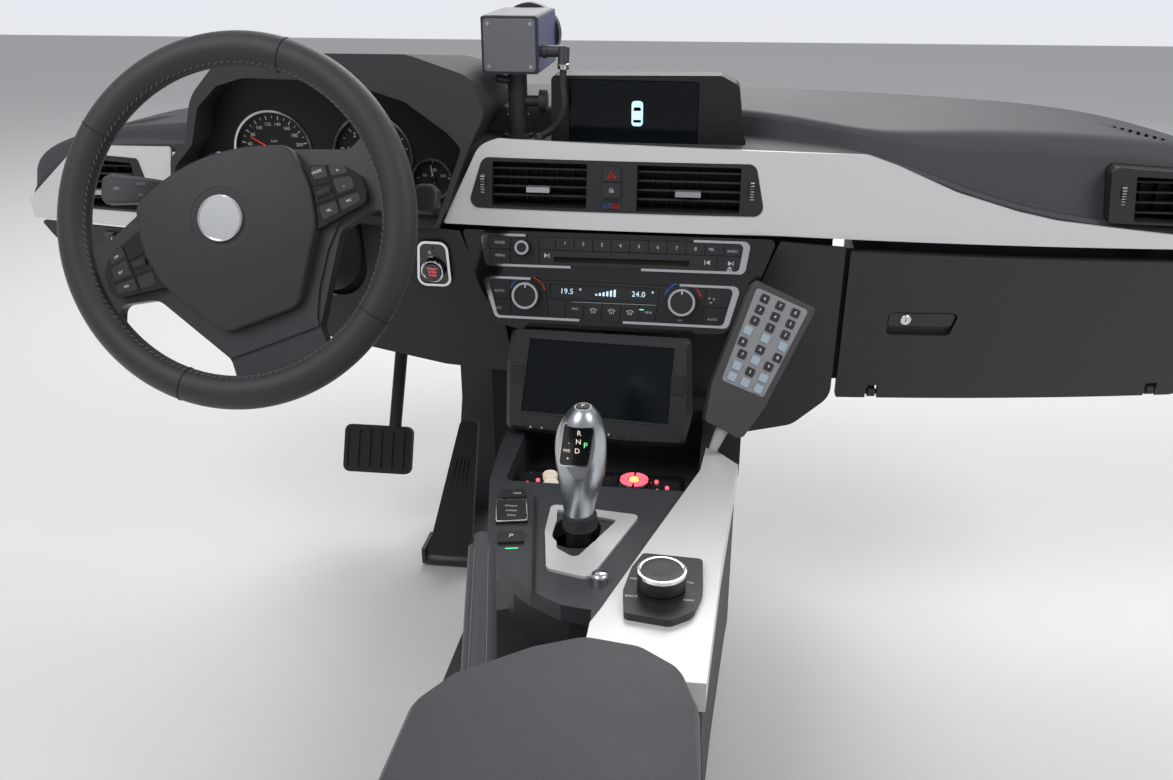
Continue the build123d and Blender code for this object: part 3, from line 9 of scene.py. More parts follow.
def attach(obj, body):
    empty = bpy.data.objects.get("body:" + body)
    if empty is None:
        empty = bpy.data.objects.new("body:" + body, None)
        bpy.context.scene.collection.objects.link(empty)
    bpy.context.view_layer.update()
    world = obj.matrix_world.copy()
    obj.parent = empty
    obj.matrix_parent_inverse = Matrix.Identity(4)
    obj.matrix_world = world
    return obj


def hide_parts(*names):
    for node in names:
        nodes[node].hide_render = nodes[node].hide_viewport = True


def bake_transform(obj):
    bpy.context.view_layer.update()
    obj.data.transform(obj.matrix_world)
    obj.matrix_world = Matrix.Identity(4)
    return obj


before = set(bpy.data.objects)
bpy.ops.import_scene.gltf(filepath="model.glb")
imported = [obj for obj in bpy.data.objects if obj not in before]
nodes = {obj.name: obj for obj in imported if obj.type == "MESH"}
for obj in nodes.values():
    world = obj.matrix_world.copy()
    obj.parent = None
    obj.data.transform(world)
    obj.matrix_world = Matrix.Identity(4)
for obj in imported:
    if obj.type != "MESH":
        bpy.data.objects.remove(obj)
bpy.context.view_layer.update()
print("frame loaded")

mm = 0.001  # lengths below are in millimetres unless a name says otherwise


# Shader maths

class Value:
    # one shader socket, so that masks read as plain expressions
    def __init__(self, paint, socket):
        self.paint = paint
        self.socket = socket

    def __add__(self, other):
        return self.paint.maths("ADD", self, other)

    def __radd__(self, other):
        return self.paint.maths("ADD", other, self)

    def __mul__(self, other):
        return self.paint.maths("MULTIPLY", self, other)

    def __rmul__(self, other):
        return self.paint.maths("MULTIPLY", other, self)

    def __lt__(self, other):
        return self.paint.maths("LESS_THAN", self, other)

    def __gt__(self, other):
        return self.paint.maths("GREATER_THAN", self, other)


class Paint:
    # a material with its Principled shader; node() adds any other node
    def __init__(self, name, color, roughness, metallic=0.0, **sockets):
        self.material = bpy.data.materials.new(name)
        self.material.use_nodes = True
        self.tree = self.material.node_tree
        self.shader = self.tree.nodes["Principled BSDF"]
        self.color = color
        self.shader.inputs["Base Color"].default_value = (*color, 1)
        self.shader.inputs["Roughness"].default_value = roughness
        self.shader.inputs["Metallic"].default_value = metallic
        for socket, value in sockets.items():
            self.shader.inputs[socket.replace("_", " ").title()].default_value = value
        self.place = None

    def node(self, kind, settings=None, inputs=None, output=0):
        made = self.tree.nodes.new(kind)
        for name, value in (settings or {}).items():
            setattr(made, name, value)
        for name, value in (inputs or {}).items():
            self.feed(made.inputs[name], value)
        return Value(self, made.outputs[output])

    def feed(self, socket, value):
        if isinstance(value, Value):
            self.tree.links.new(value.socket, socket)
        elif hasattr(value, "__len__") and len(value) == 3 and socket.type == "RGBA":
            socket.default_value = (*value, 1)
        else:
            socket.default_value = value

    def maths(self, operation, a, b):
        return self.node("ShaderNodeMath", {"operation": operation}, {0: a, 1: b})

    def where(self):
        if self.place is None:
            self.place = self.node("ShaderNodeTexCoord", output="Object")
        return self.place

    def stretched(self, x, y, z):
        return self.node("ShaderNodeVectorMath", {"operation": "MULTIPLY"}, {0: self.where(), 1: (x, y, z)})

    def noise(self, scale, detail=2.0, vector=None, rough=0.5):
        return self.node("ShaderNodeTexNoise", {}, {
            "Vector": vector or self.where(), "Scale": scale, "Detail": detail, "Roughness": rough})

    def cells(self, scale, feature="F1"):
        inputs = {"Vector": self.where(), "Scale": scale}
        return self.node("ShaderNodeTexVoronoi", {"feature": feature}, inputs)

    def blend(self, fac, first, second):
        inputs = {"Factor": fac, 6: first, 7: second}
        return self.node("ShaderNodeMix", {"data_type": "RGBA"}, inputs, output=2)

    def vary(self, mask, low, high):
        # the base colour between two shades of itself
        return self.put("Base Color", self.blend(mask, shade(self.color, low), shade(self.color, high)))

    def put(self, name, value):
        self.feed(self.shader.inputs[name], value)
        return self

    def bump(self, height, strength, distance):
        made = self.node("ShaderNodeBump", {}, {"Height": height, "Strength": strength, "Distance": distance})
        return self.put("Normal", made)


def shade(color, share):
    return tuple(min(1.0, c * share) for c in color)


def moulded(name, color, roughness=0.55, grain=900, depth=0.35, vary=0.12):
    # injection-moulded plastic: pebbled grain, slight shade and gloss changes, a little dust
    paint = Paint(name, color, roughness)
    drift = paint.noise(7, 3)
    dust = paint.noise(260, 2)
    paint.vary(drift, 1 - vary, 1 + vary)
    paint.put("Roughness", drift * 0.12 + dust * 0.08 + (roughness - 0.1))
    pebbles = paint.cells(grain) + paint.noise(grain * 1.7, 2) * 0.6
    return paint.bump(pebbles, depth, 0.0002)


def hide(name, color, roughness=0.5, grain=650, depth=0.5, sheen=0.15):
    # leather: cells between creases, with a finer pore over them
    paint = Paint(name, color, roughness, sheen_weight=sheen)
    warp = paint.noise(60, 2)
    creases = paint.cells(grain, "DISTANCE_TO_EDGE")
    drift = paint.noise(9, 3)
    paint.vary(drift, 0.86, 1.14)
    paint.put("Roughness", drift * 0.16 + warp * 0.06 + (roughness - 0.1))
    return paint.bump(creases * 1.6 + paint.noise(grain * 3, 2) * 0.35, depth, 0.00025)


def lacquered(name, color, roughness=0.34, metallic=0.3):
    # satin silver lacquer over plastic, with fine flake and orange peel
    paint = Paint(name, color, roughness, metallic, coat_weight=0.35, coat_roughness=0.25)
    flake = paint.cells(2600)
    drift = paint.noise(5, 2)
    paint.vary(flake, 0.95, 1.03)
    paint.put("Roughness", flake * 0.06 + drift * 0.08 + (roughness - 0.06))
    return paint.bump(paint.noise(180, 2), 0.04, 0.0002)


def polished(name, color, roughness=0.12, metallic=1.0, along=None):
    # plated or drawn metal; "along" stretches fine scratches in one direction
    paint = Paint(name, color, roughness, metallic)
    lines = paint.noise(1.0, 3, paint.stretched(*(along or (160, 160, 160))))
    paint.put("Roughness", lines * 0.14 + max(0.02, roughness - 0.07))
    paint.vary(lines, 0.93, 1.04)
    return paint.bump(lines, 0.05, 0.0001)


def glossy(name, color, roughness=0.07, coat=0.6, shine=0.5):
    # piano lacquer or coated glass: smears and fine dust show in the gloss
    paint = Paint(name, color, roughness, coat_weight=coat, coat_roughness=0.04)
    paint.shader.inputs["Specular IOR Level"].default_value = shine
    smears = paint.noise(22, 4, rough=0.6)
    specks = paint.cells(420) < 0.07
    paint.put("Roughness", smears * 0.1 + specks * 0.35 + (roughness - 0.03))
    return paint.put("Base Color", paint.blend(specks * 0.25, color, (0.3, 0.3, 0.3)))


def lamp(name, color, strength):
    paint = Paint(name, shade(color, 0.6), 0.4)
    paint.shader.inputs["Emission Color"].default_value = (*color, 1)
    paint.shader.inputs["Emission Strength"].default_value = strength
    spread = paint.noise(300, 1)
    paint.put("Emission Color", paint.blend(spread, shade(color, 0.8), color))
    return paint.put("Roughness", spread * 0.1 + 0.35)


def rubbery(name, color, roughness=0.75):
    paint = Paint(name, color, roughness)
    drift = paint.noise(30, 3)
    paint.vary(drift, 0.8, 1.25)
    paint.put("Roughness", drift * 0.2 + (roughness - 0.1))
    return paint.bump(paint.noise(900, 3), 0.3, 0.0002)


recipes = {
    # recipe, colour, then the recipe's own settings in their order
    "dashSkin": (moulded, (0.047, 0.05, 0.055), 0.62, 620, 0.5),
    "hoodSkin": (moulded, (0.03, 0.031, 0.034), 0.66, 620, 0.5),
    "lowerDash": (moulded, (0.026, 0.027, 0.029), 0.6, 800, 0.4),
    "silverTrim": (lacquered, (0.7, 0.705, 0.7), 0.36, 0.25),
    "ventBlack": (moulded, (0.016, 0.0165, 0.018), 0.45, 1400, 0.2),
    "tabSilver": (lacquered, (0.5, 0.51, 0.52), 0.3, 0.7),
    "pianoBlack": (glossy, (0.006, 0.006, 0.007)),
    "screenGlass": (glossy, (0.004, 0.006, 0.009), 0.1, 0.0, 0.22),
    "dialBlack": (moulded, (0.008, 0.008, 0.009), 0.5, 1600, 0.1),
    "chromeRing": (polished, (0.8, 0.81, 0.82), 0.1),
    "keyBlack": (moulded, (0.02, 0.0205, 0.022), 0.42, 1500, 0.12),
    "coatedSteel": (moulded, (0.03, 0.032, 0.034), 0.5, 300, 0.15),
    "ductBlack": (moulded, (0.02, 0.02, 0.021), 0.65, 240, 0.2),
    "rimLeather": (hide, (0.022, 0.0225, 0.024), 0.52, 900, 0.35),
    "spokeSatin": (moulded, (0.035, 0.036, 0.04), 0.36, 1400, 0.12),
    "coverSkin": (moulded, (0.03, 0.031, 0.033), 0.6, 700, 0.45),
    "consoleSatin": (moulded, (0.042, 0.045, 0.05), 0.42, 1200, 0.15),
    "bodySteel": (polished, (0.5, 0.52, 0.55), 0.3, 1.0, (40, 900, 900)),
    "restSkin": (hide, (0.034, 0.036, 0.041), 0.6, 520, 0.5),
    "gripSkin": (hide, (0.05, 0.052, 0.057), 0.55, 700, 0.5),
    "treadRubber": (rubbery, (0.02, 0.018, 0.018)),
    "caseBlack": (moulded, (0.022, 0.023, 0.025), 0.48, 1100, 0.25),
    "remoteCase": (moulded, (0.045, 0.045, 0.046), 0.5, 900, 0.3),
    "reliefGrey": (rubbery, (0.35, 0.36, 0.34), 0.6),
    "cameraCoat": (moulded, (0.035, 0.036, 0.04), 0.42, 900, 0.12),
    "cableSheath": (rubbery, (0.015, 0.015, 0.016), 0.6),
    "dialFace": (moulded, (0.012, 0.012, 0.013), 0.55, 1600, 0.08),
    "dialHub": (glossy, (0.01, 0.01, 0.011), 0.2),
    "whiteInk": (moulded, (0.82, 0.83, 0.84), 0.5, 1200, 0.02, 0.04),
    "paleInk": (moulded, (0.55, 0.58, 0.62), 0.5, 1200, 0.02, 0.04),
    "greyInk": (moulded, (0.4, 0.42, 0.44), 0.5, 1200, 0.02, 0.04),
    "inkRed": (moulded, (0.6, 0.025, 0.02), 0.45, 1200, 0.02, 0.06),
    "inkBlue": (moulded, (0.03, 0.12, 0.55), 0.45, 1200, 0.02, 0.06),
    "needleRed": (lamp, (0.9, 0.06, 0.04), 0.6),
    "litPale": (lamp, (0.62, 0.85, 1.0), 0.9),
    "litWarm": (lamp, (1.0, 0.86, 0.66), 0.8),
    "litGreen": (lamp, (0.15, 0.95, 0.35), 1.1),
    "litRed": (lamp, (1.0, 0.12, 0.17), 1.4),
    "litOrange": (lamp, (1.0, 0.5, 0.15), 1.6),
    "creamKey": (lamp, (1.0, 0.85, 0.7), 0.35),
    "seamBlack": (rubbery, (0.012, 0.012, 0.013), 0.7),
    "seamGrey": (rubbery, (0.14, 0.145, 0.15), 0.7),
    "keyRubber": (rubbery, (0.018, 0.018, 0.02), 0.62),
    "packKey": (moulded, (0.022, 0.023, 0.025), 0.38, 1500, 0.08),
    "stalkGrey": (moulded, (0.05, 0.053, 0.058), 0.45, 1100, 0.15),
    "stalkCap": (moulded, (0.03, 0.031, 0.034), 0.4, 1300, 0.12),
    "cableBraid": (rubbery, (0.02, 0.02, 0.021), 0.7),
    "slotBlack": (rubbery, (0.006, 0.006, 0.006), 0.8),
    "remoteSilver": (lacquered, (0.27, 0.275, 0.285), 0.4),
    "emblemSatin": (lacquered, (0.55, 0.56, 0.57), 0.3, 0.7),
    # painted shade: the black of the sheets that stand in for the dark inside of the dash behind the panels
    "feltBlack": (rubbery, (0.012, 0.012, 0.012), 0.9),
    "cameraBlue": (moulded, (0.07, 0.075, 0.2), 0.35, 900, 0.08),
    "cameraGrey": (moulded, (0.16, 0.165, 0.18), 0.4, 900, 0.1),
    "keyPale": (moulded, (0.34, 0.42, 0.48), 0.5, 1200, 0.05, 0.05),
    "connectorSteel": (polished, (0.72, 0.73, 0.74), 0.2),
}
finishes = {name: recipe(name, *settings) for name, (recipe, *settings) in recipes.items()}

nodeFinishes = {
    "dashSkin": ["upper_pad"],
    "hoodSkin": ["cluster_hood"],
    "lowerDash": ["knee_panel", "filler_panel", "glovebox_lid", "column_shroud", "console_body",
                  "armrest_box"],
    "silverTrim": ["trim_main", "trim_left", "gate_frame", "console_trim"],
    "ventBlack": ["defroster_grilles", "vent_left", "vent_centre", "vent_right"],
    "tabSilver": ["vent_tabs"],
    "emblemSatin": ["wheel_emblem"],
    "pianoBlack": ["stack_fascia", "dash_switches", "button_panel", "wheel_switches"],
    "screenGlass": ["display_screen"],
    "dialBlack": ["display_housing", "cluster_housing"],
    "chromeRing": ["cluster_rings", "chrome_button", "bright_frames"],
    "keyBlack": ["hazard_block", "radio_panel", "climate_panel", "glovebox_handle", "stalks", "controller",
                 "console_switches", "remote_keys"],
    "coatedSteel": ["cross_beam", "steering_column", "handbrake_bracket", "pedal_bracket", "monitor_bracket",
                    "remote_holder", "camera_post"],
    "ductBlack": ["hvac_block", "glovebox_bin"],
    "rimLeather": ["wheel_rim"],
    "spokeSatin": ["wheel_spokes"],
    "coverSkin": ["airbag_cover"],
    "consoleSatin": ["selector_panel"],
    "bodySteel": ["gear_selector"],
    "restSkin": ["armrest_lid"],
    "gripSkin": ["handbrake_boot", "handbrake_lever"],
    "treadRubber": ["brake_pedal", "accelerator_pedal"],
    "caseBlack": ["monitor"],
    "remoteCase": ["keypad_remote"],
    "reliefGrey": ["remote_relief"],
    "cameraCoat": ["camera_head"],
    "cableSheath": ["camera_cable"],
}


def smooth(piece, angle=35):
    piece.data.polygons.foreach_set("use_smooth", [True] * len(piece.data.polygons))
    piece.data.set_sharp_from_angle(angle=math.radians(angle))


# CAD nodes: a finish each, and a small round on the edges that catch light

softEdges = {
    # edge round in mm: nodes
    0.35: ["radio_panel", "climate_panel"],
    0.5: ["bright_frames", "wheel_switches", "hazard_block", "camera_post"],
    0.6: ["remote_holder", "button_panel"],
    0.7: ["dash_switches"],
    0.8: ["knee_panel", "filler_panel", "glovebox_handle", "wheel_spokes", "controller", "console_switches",
          "vent_tabs", "brake_pedal", "accelerator_pedal"],
    0.9: ["trim_main", "trim_left", "gate_frame"],
    1.0: ["monitor_bracket"],
    1.2: ["selector_panel", "stack_fascia", "display_housing", "armrest_box"],
    1.4: ["glovebox_lid", "keypad_remote"],
    1.5: ["console_body"],
    2.2: ["console_trim"],
}


def roundEdges(piece, width, angle=38):
    bevel = piece.modifiers.new("edgeRound", "BEVEL")
    bevel.width = width * mm
    bevel.segments = 2
    bevel.limit_method = "ANGLE"
    bevel.angle_limit = math.radians(angle)
    bevel.harden_normals = True


for finish, names in nodeFinishes.items():
    for name in names:
        nodes[name].data.materials.clear()
        nodes[name].data.materials.append(finishes[finish].material)
for width, names in softEdges.items():
    for name in names:
        roundEdges(nodes[name], width)
print("finishes on", sum(len(names) for names in nodeFinishes.values()), "of", len(nodes), "nodes")


# Mesh tools: outlines are lists of (x, y) in mm in the plane of a seat

def seat(origin, xAxis, zAxis, turn=0):
    z = Vector(zAxis).normalized()
    x = Vector(xAxis)
    x = (x - z * x.dot(z)).normalized()
    base = Matrix((x, z.cross(x), z)).transposed().to_4x4()
    base.translation = Vector(origin) * mm
    return base @ Matrix.Rotation(math.radians(turn), 4, "Z")


def frontSeat(x, y, z, lean=0.0):
    # a seat that faces the driver, leaned back by this share
    return seat((x, y, z), (1, 0, 0), (0, -1, lean))


def topSeat(x, y, z):
    return seat((x, y, z), (1, 0, 0), (0, 0, 1))


def settle(name, shape, where, finish, body, bevel=0.0, angle=35):
    # body is None for a piece that spans two bodies; it is attached to neither
    bmesh.ops.recalc_face_normals(shape, faces=shape.faces)
    shape.transform(where)
    mesh = bpy.data.meshes.new(name)
    shape.to_mesh(mesh)
    shape.free()
    made = bpy.data.objects.new(name, mesh)
    bpy.context.scene.collection.objects.link(made)
    mesh.materials.append(finishes[finish].material)
    smooth(made, angle)
    if bevel:
        roundEdges(made, bevel)
    if body:
        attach(made, body)
    return made


def slabs(name, outlines, low, high, where, finish, body="dash", bevel=0.3):
    # a plate from each outline, between two heights
    shape = bmesh.new()
    for outline in outlines:
        face = shape.faces.new([shape.verts.new((x * mm, y * mm, low * mm)) for x, y in outline])
        for part in bmesh.ops.extrude_face_region(shape, geom=[face])["geom"]:
            if isinstance(part, bmesh.types.BMVert):
                part.co.z = high * mm
    return settle(name, shape, where, finish, body, bevel)


def frame4(outer, inner):
    # the quads between two outlines with the same number of corners
    count = len(outer)
    return [[outer[i], outer[(i + 1) % count], inner[(i + 1) % count], inner[i]] for i in range(count)]


def middleOf(outline):
    count = len(outline)
    return Vector((sum(x for x, y in outline) / count, sum(y for x, y in outline) / count))


def grown(outline, middle, share):
    return [(middle.x + (x - middle.x) * share, middle.y + (y - middle.y) * share) for x, y in outline]


def brightRim(name, outline, middle, share, low, high, where, body="dash"):
    # a thin bright frame along the inside of an outline
    slabs(name, frame4(outline, grown(outline, middle, share)), low, high, where, "chromeRing", body, 0)


def box2(x, y, wide, high, turn=0):
    c, s = math.cos(math.radians(turn)), math.sin(math.radians(turn))
    corners = ((-wide / 2, -high / 2), (wide / 2, -high / 2), (wide / 2, high / 2), (-wide / 2, high / 2))
    return [(x + u * c - v * s, y + u * s + v * c) for u, v in corners]


def rounded(points, radius, steps=5):
    # the outline with each corner turned into an arc; longest is an arc's share of a side
    longest = 0.48
    made = []
    for i, point in enumerate(points):
        corner = Vector(point)
        before = Vector(points[i - 1]) - corner
        after = Vector(points[(i + 1) % len(points)]) - corner
        half = before.angle(after) / 2
        reach = min(radius / math.tan(half), before.length * longest, after.length * longest)
        start = corner + before.normalized() * reach
        end = corner + after.normalized() * reach
        for k in range(steps + 1):
            t = k / steps
            made.append(tuple(start * (1 - t) ** 2 + corner * 2 * t * (1 - t) + end * t ** 2))
    return made


def sector(x, y, inner, outer, start, end, steps=14):
    turns = [math.radians(start + (end - start) * i / steps) for i in range(steps + 1)]
    far = [(x + outer * math.cos(t), y + outer * math.sin(t)) for t in turns]
    return far + [(x + inner * math.cos(t), y + inner * math.sin(t)) for t in reversed(turns)]


def circle(shape, at, radius, height, steps):
    made = []
    for i in range(steps):
        t = 2 * math.pi * i / steps
        x, y = at[0] + radius * math.cos(t), at[1] + radius * math.sin(t)
        made.append(shape.verts.new((x * mm, y * mm, height * mm)))
    return made


def bridge(shape, rings, joined=False, capped=True):
    # quads between neighbouring rings of vertices; joined closes the last ring on the first
    pairs = list(zip(rings, rings[1:]))
    if joined:
        pairs.append((rings[-1], rings[0]))
    for first, second in pairs:
        for i in range(len(first)):
            after = (i + 1) % len(first)
            shape.faces.new((first[i], first[after], second[after], second[i]))
    if capped:
        shape.faces.new(rings[0])
        shape.faces.new(rings[-1])


def lathe(name, profile, where, finish, body="dash", at=(0, 0), steps=48):
    # profile: radius, height
    shape = bmesh.new()
    bridge(shape, [circle(shape, at, radius, height, steps) for radius, height in profile])
    return settle(name, shape, where, finish, body)


def hoop(name, inner, outer, low, high, where, finish, body="dash", at=(0, 0)):
    # a ring with a crowned front
    steps = 64
    shoulder = high - 0.4
    profile = [(inner, low), (inner, shoulder), ((inner + outer) / 2, high), (outer, shoulder), (outer, low)]
    shape = bmesh.new()
    rings = [circle(shape, at, radius, height, steps) for radius, height in profile]
    bridge(shape, rings, joined=True, capped=False)
    return settle(name, shape, where, finish, body)


def tubeMesh(shape, points, radius, sides=8, closed=False):
    offLine = (0.13, 0.21, 0.97)  # a direction that no tube here runs along
    points = [Vector(p) * mm for p in points]
    turns = [2 * math.pi * k / sides for k in range(sides)]
    rings = []
    for i, point in enumerate(points):
        after = points[(i + 1) % len(points)] if closed or i < len(points) - 1 else point
        before = points[i - 1] if closed or i else point
        along = (after - before).normalized()
        side = along.cross(offLine).normalized()
        up = along.cross(side)
        rings.append([shape.verts.new(point + (side * math.cos(t) + up * math.sin(t)) * radius * mm)
                      for t in turns])
    bridge(shape, rings, joined=closed, capped=not closed)


def lettering(name, entries, where, height, finish, body="dash", spacing=1.0):
    # entries: text, x, y, height of a capital; fontShare is the font size over that height
    fontShare = 1.38
    shape = bmesh.new()
    for text, x, y, size in entries:
        curve = bpy.data.curves.new(name, "FONT")
        curve.body = text
        curve.size = size * fontShare * mm
        curve.align_x = "CENTER"
        curve.align_y = "CENTER"
        curve.space_character = spacing
        curve.resolution_u = 3
        holder = bpy.data.objects.new(name, curve)
        flat = bpy.data.meshes.new_from_object(holder)
        flat.transform(Matrix.Translation((x * mm, y * mm, height * mm)))
        shape.from_mesh(flat)
        bpy.data.objects.remove(holder)
        bpy.data.meshes.remove(flat)
    return settle(name, shape, where, finish, body)


def drape(piece, node, lift=0.12, way=(0, 1, 0)):
    # lay a flat piece on a node's surface, cast along a direction; back and reach are in metres
    back, reach = 0.08, 0.3
    tree = BVHTree.FromObject(nodes[node], bpy.context.evaluated_depsgraph_get())
    way = Vector(way)
    for vert in piece.data.vertices:
        hit = tree.ray_cast(vert.co - way * back, way, reach)[0]
        if hit is not None:
            vert.co = hit - way * lift * mm


def mark(name, outlines, place, finish, node, lift=0.12):
    # thin flat marks that lie on a node's surface
    drape(slabs(name, outlines, 0, 0.1, place, finish, bevel=0), node, lift)


worldSeat = Matrix.Identity(4)
stackStretch = math.sqrt(1 + 0.25 ** 2)
stackSeat = seat((0, -298, 0), (1, -0.03, 0), (-0.03, -1, 0.25))
wheelLean = math.radians(21.1)
columnAt = (-364, -480, 46.5)
columnWay = (0, -math.cos(wheelLean), math.sin(wheelLean))
wheelSeat = seat(columnAt, (1, 0, 0), columnWay, 22)
columnSeat = seat(columnAt, (1, 0, 0), columnWay)
clusterSeat = frontSeat(0, -190, 0)
monitorSeat = seat((-14, -385, -154), (1, -0.05, 0), (-0.05, -1, 0.35))
consoleSeat = topSeat(0, 0, -215)
remoteUp = Vector((58, 76, 128))
remoteAcross = Vector((66, -3, -32))
remoteSide = remoteAcross - remoteUp * (remoteAcross.dot(remoteUp) / remoteUp.length_squared)
remoteSeat = seat((128, -433, -175), remoteSide, remoteAcross.cross(remoteUp))
bow = {"front": -300, "radius": 3200, "leanAbove": 0.23, "leanBelow": -0.13}


def onStack(x, z):
    return (x, z * stackStretch)


def bowY(x, z):
    # the dash's bowed face, as far forward as the CAD has it
    lean = bow["leanAbove"] if z > 0 else bow["leanBelow"]
    return bow["front"] + bow["radius"] - math.sqrt(bow["radius"] ** 2 - x ** 2) + lean * z


# Instrument cluster

dialHeights = {
    "face": -5, "ticks": (-4.9, -4.5), "numbers": -4.4, "needle": (-3.4, -2.6), "hub": (-4.9, -2, -1.4),
}
dials = {
    # zero and step: the turn of mark 0 and of one unit; shares below are of the radius
    "speed": {"at": (-442.5, 57), "radius": 48, "zero": 231, "step": -1.085, "marks": range(0, 261, 10),
              "big": 20, "labels": range(20, 261, 20), "size": 4.3, "needle": 150},
    "engine": {"at": (-315, 55), "radius": 48, "zero": 205, "step": -35.3,
               "marks": [i / 2 for i in range(15)], "big": 1, "labels": range(1, 8), "size": 6.2,
               "needle": 171},
    "heat": {"at": (-242, 28), "radius": 23, "zero": 180, "step": -1.8, "marks": range(0, 101, 25),
             "big": 50, "labels": (), "size": 4, "needle": 97},
    "fuel": {"at": (-515.5, 30), "radius": 23, "zero": 180, "step": -1.8, "marks": range(0, 101, 25),
             "big": 50, "labels": (), "size": 4, "needle": 60},
}
dialShares = {"tickEnd": 0.9, "bigTick": 0.1, "smallTick": 0.065, "numbers": 0.69, "tip": 0.72, "tail": 0.1}


def polar(at, radius, turn):
    return (at[0] + radius * math.cos(math.radians(turn)), at[1] + radius * math.sin(math.radians(turn)))


def makeDials():
    share, height = dialShares, dialHeights
    for name, dial in dials.items():
        at, radius = dial["at"], dial["radius"]
        plate = [(radius - 0.5, height["face"]), (radius - 0.5, height["face"] + 0.1)]
        lathe(name + "Face", plate, clusterSeat, "dialFace", at=at)
        ticks = []
        for value in dial["marks"]:
            big = value % dial["big"] == 0
            turn = dial["zero"] + dial["step"] * value
            long = share["bigTick"] if big else share["smallTick"]
            middle = polar(at, radius * (share["tickEnd"] - long / 2), turn)
            ticks.append(box2(*middle, radius * long, 1.0 if big else 0.6, turn))
        slabs(name + "Ticks", ticks, *height["ticks"], clusterSeat, "whiteInk", bevel=0)
        if dial["labels"]:
            labels = []
            for value in dial["labels"]:
                spot = polar(at, radius * share["numbers"], dial["zero"] + dial["step"] * value)
                labels.append((str(value), *spot, dial["size"]))
            lettering(name + "Numbers", labels, clusterSeat, height["numbers"], "whiteInk")
        turn = dial["needle"]
        tip, tail = polar(at, radius * share["tip"], turn), polar(at, radius * share["tail"], turn + 180)
        corners = ((tip, 0.35), (tip, -0.35), (tail, -1.1), (tail, 1.1))
        needle = [polar(end, wide, turn + 90) for end, wide in corners]
        finish = "needleRed" if name == "speed" else "whiteInk"
        slabs(name + "Needle", [needle], *height["needle"], clusterSeat, finish)
        hub = [(radius * part, z) for part, z in zip((0.16, 0.15, 0.1), height["hub"])]
        lathe(name + "Hub", hub, clusterSeat, "dialHub", at=at)
    x, y = dials["heat"]["at"]
    heatNumbers = [("70", x - 11, y + 3, 3.6), ("120", x + 1, y + 10, 3.6), ("170", x + 12, y + 3, 3.6),
                   ("C", x + 1, y - 5, 3)]
    lettering("heatNumbers", heatNumbers, clusterSeat, height["numbers"], "whiteInk")
    x, y = dials["speed"]["at"]
    lettering("speedUnit", [("km/h", x, y + 12, 3)], clusterSeat, height["numbers"], "whiteInk")


makeDials()
print("dials made")


# Steering wheel: seams, pack keys and the emblem's ring

wheel = {
    "rim": 170, "across": 17.25, "deep": 15.25, "seams": (52.5, 127.5, 232.2, 307.8), "seamWide": 0.55,
    "stitches": 150, "stitchTurn": 150, "stitchHalf": 1.9, "packTop": 14, "keyLow": -0.4, "keyHigh": 0.5,
    "keys": (
        # corner radius, outline; the first key has no twin on the left
        (2, [(95.5, 6), (96.5, 18.5), (110, 15), (110, 3.5)]),
        (3, [(113.5, 3), (113.5, 14), (128, 9.5), (131, 0)]),
        (2, [(113.5, -15.5), (113.5, 0), (131.5, -3.5), (132, -15.5)]),
        (2, [(91, -34), (91.5, -20.5), (109, -20.5), (108.5, -32.5)]),
        (3, [(112, -32), (112.5, -20.5), (133, -20.5), (133, -29.5)]),
    ),
    "marks": (("MODE", 101, 12, 2.6), ("+", 121, 6, 4), ("-", 122, -10, 4), ("TEL", 100, -27, 2.4),
              ("MIC", 122, -25, 2.4), ("LIM", -122, 6, 2.4), ("SET", -123, -10, 2.4),
              ("RES", -122, -25, 2.4)),
}
roller = {"steps": 48, "half": 7.5, "edge": 0.6, "end": 3.6, "middle": 4.4, "groove": 0.35, "sunk": 1.2}


def makeWheelSeams():
    shape = bmesh.new()
    steps = 40
    for turn in wheel["seams"]:
        t = math.radians(turn)
        loop = []
        for k in range(steps):
            a = 2 * math.pi * k / steps
            r = wheel["rim"] + wheel["across"] * math.cos(a)
            loop.append((r * math.cos(t), r * math.sin(t), wheel["deep"] * math.sin(a)))
        tubeMesh(shape, loop, wheel["seamWide"], closed=True)
    settle("rimSeams", shape, wheelSeat, "seamBlack", "steering_wheel")


def makeRoller(name, x, y):
    # a ribbed roller lying in the pack
    shape = bmesh.new()
    steps, half = roller["steps"], roller["half"]
    inside = half - roller["edge"]
    height = wheel["packTop"] - roller["sunk"]
    rings = []
    end, middle = roller["end"], roller["middle"]
    for along, radius in ((-half, end), (-inside, middle), (inside, middle), (half, end)):
        ring = []
        for i in range(steps):
            r = radius - (roller["groove"] if i % 4 < 2 else 0)
            t = 2 * math.pi * i / steps
            point = Vector((x + along, y + r * math.cos(t), height + r * math.sin(t)))
            ring.append(shape.verts.new(point * mm))
        rings.append(ring)
    bridge(shape, rings)
    settle(name, shape, wheelSeat, "keyRubber", "steering_wheel")


def makeWheelKeys():
    low, high = wheel["packTop"] + wheel["keyLow"], wheel["packTop"] + wheel["keyHigh"]
    keys = [rounded(outline, radius) for radius, outline in wheel["keys"]]
    mirror = [[(-x, y) for x, y in reversed(key)] for key in keys[1:]]
    slabs("rightKeys", keys, low, high, wheelSeat, "packKey", "steering_wheel", 0.35)
    slabs("leftKeys", mirror, low, high, wheelSeat, "packKey", "steering_wheel", 0.35)
    lettering("packMarks", wheel["marks"], wheelSeat, high + 0.06, "whiteInk", "steering_wheel")
    makeRoller("rightRoller", 101, -9)
    makeRoller("leftRoller", -101, -9)


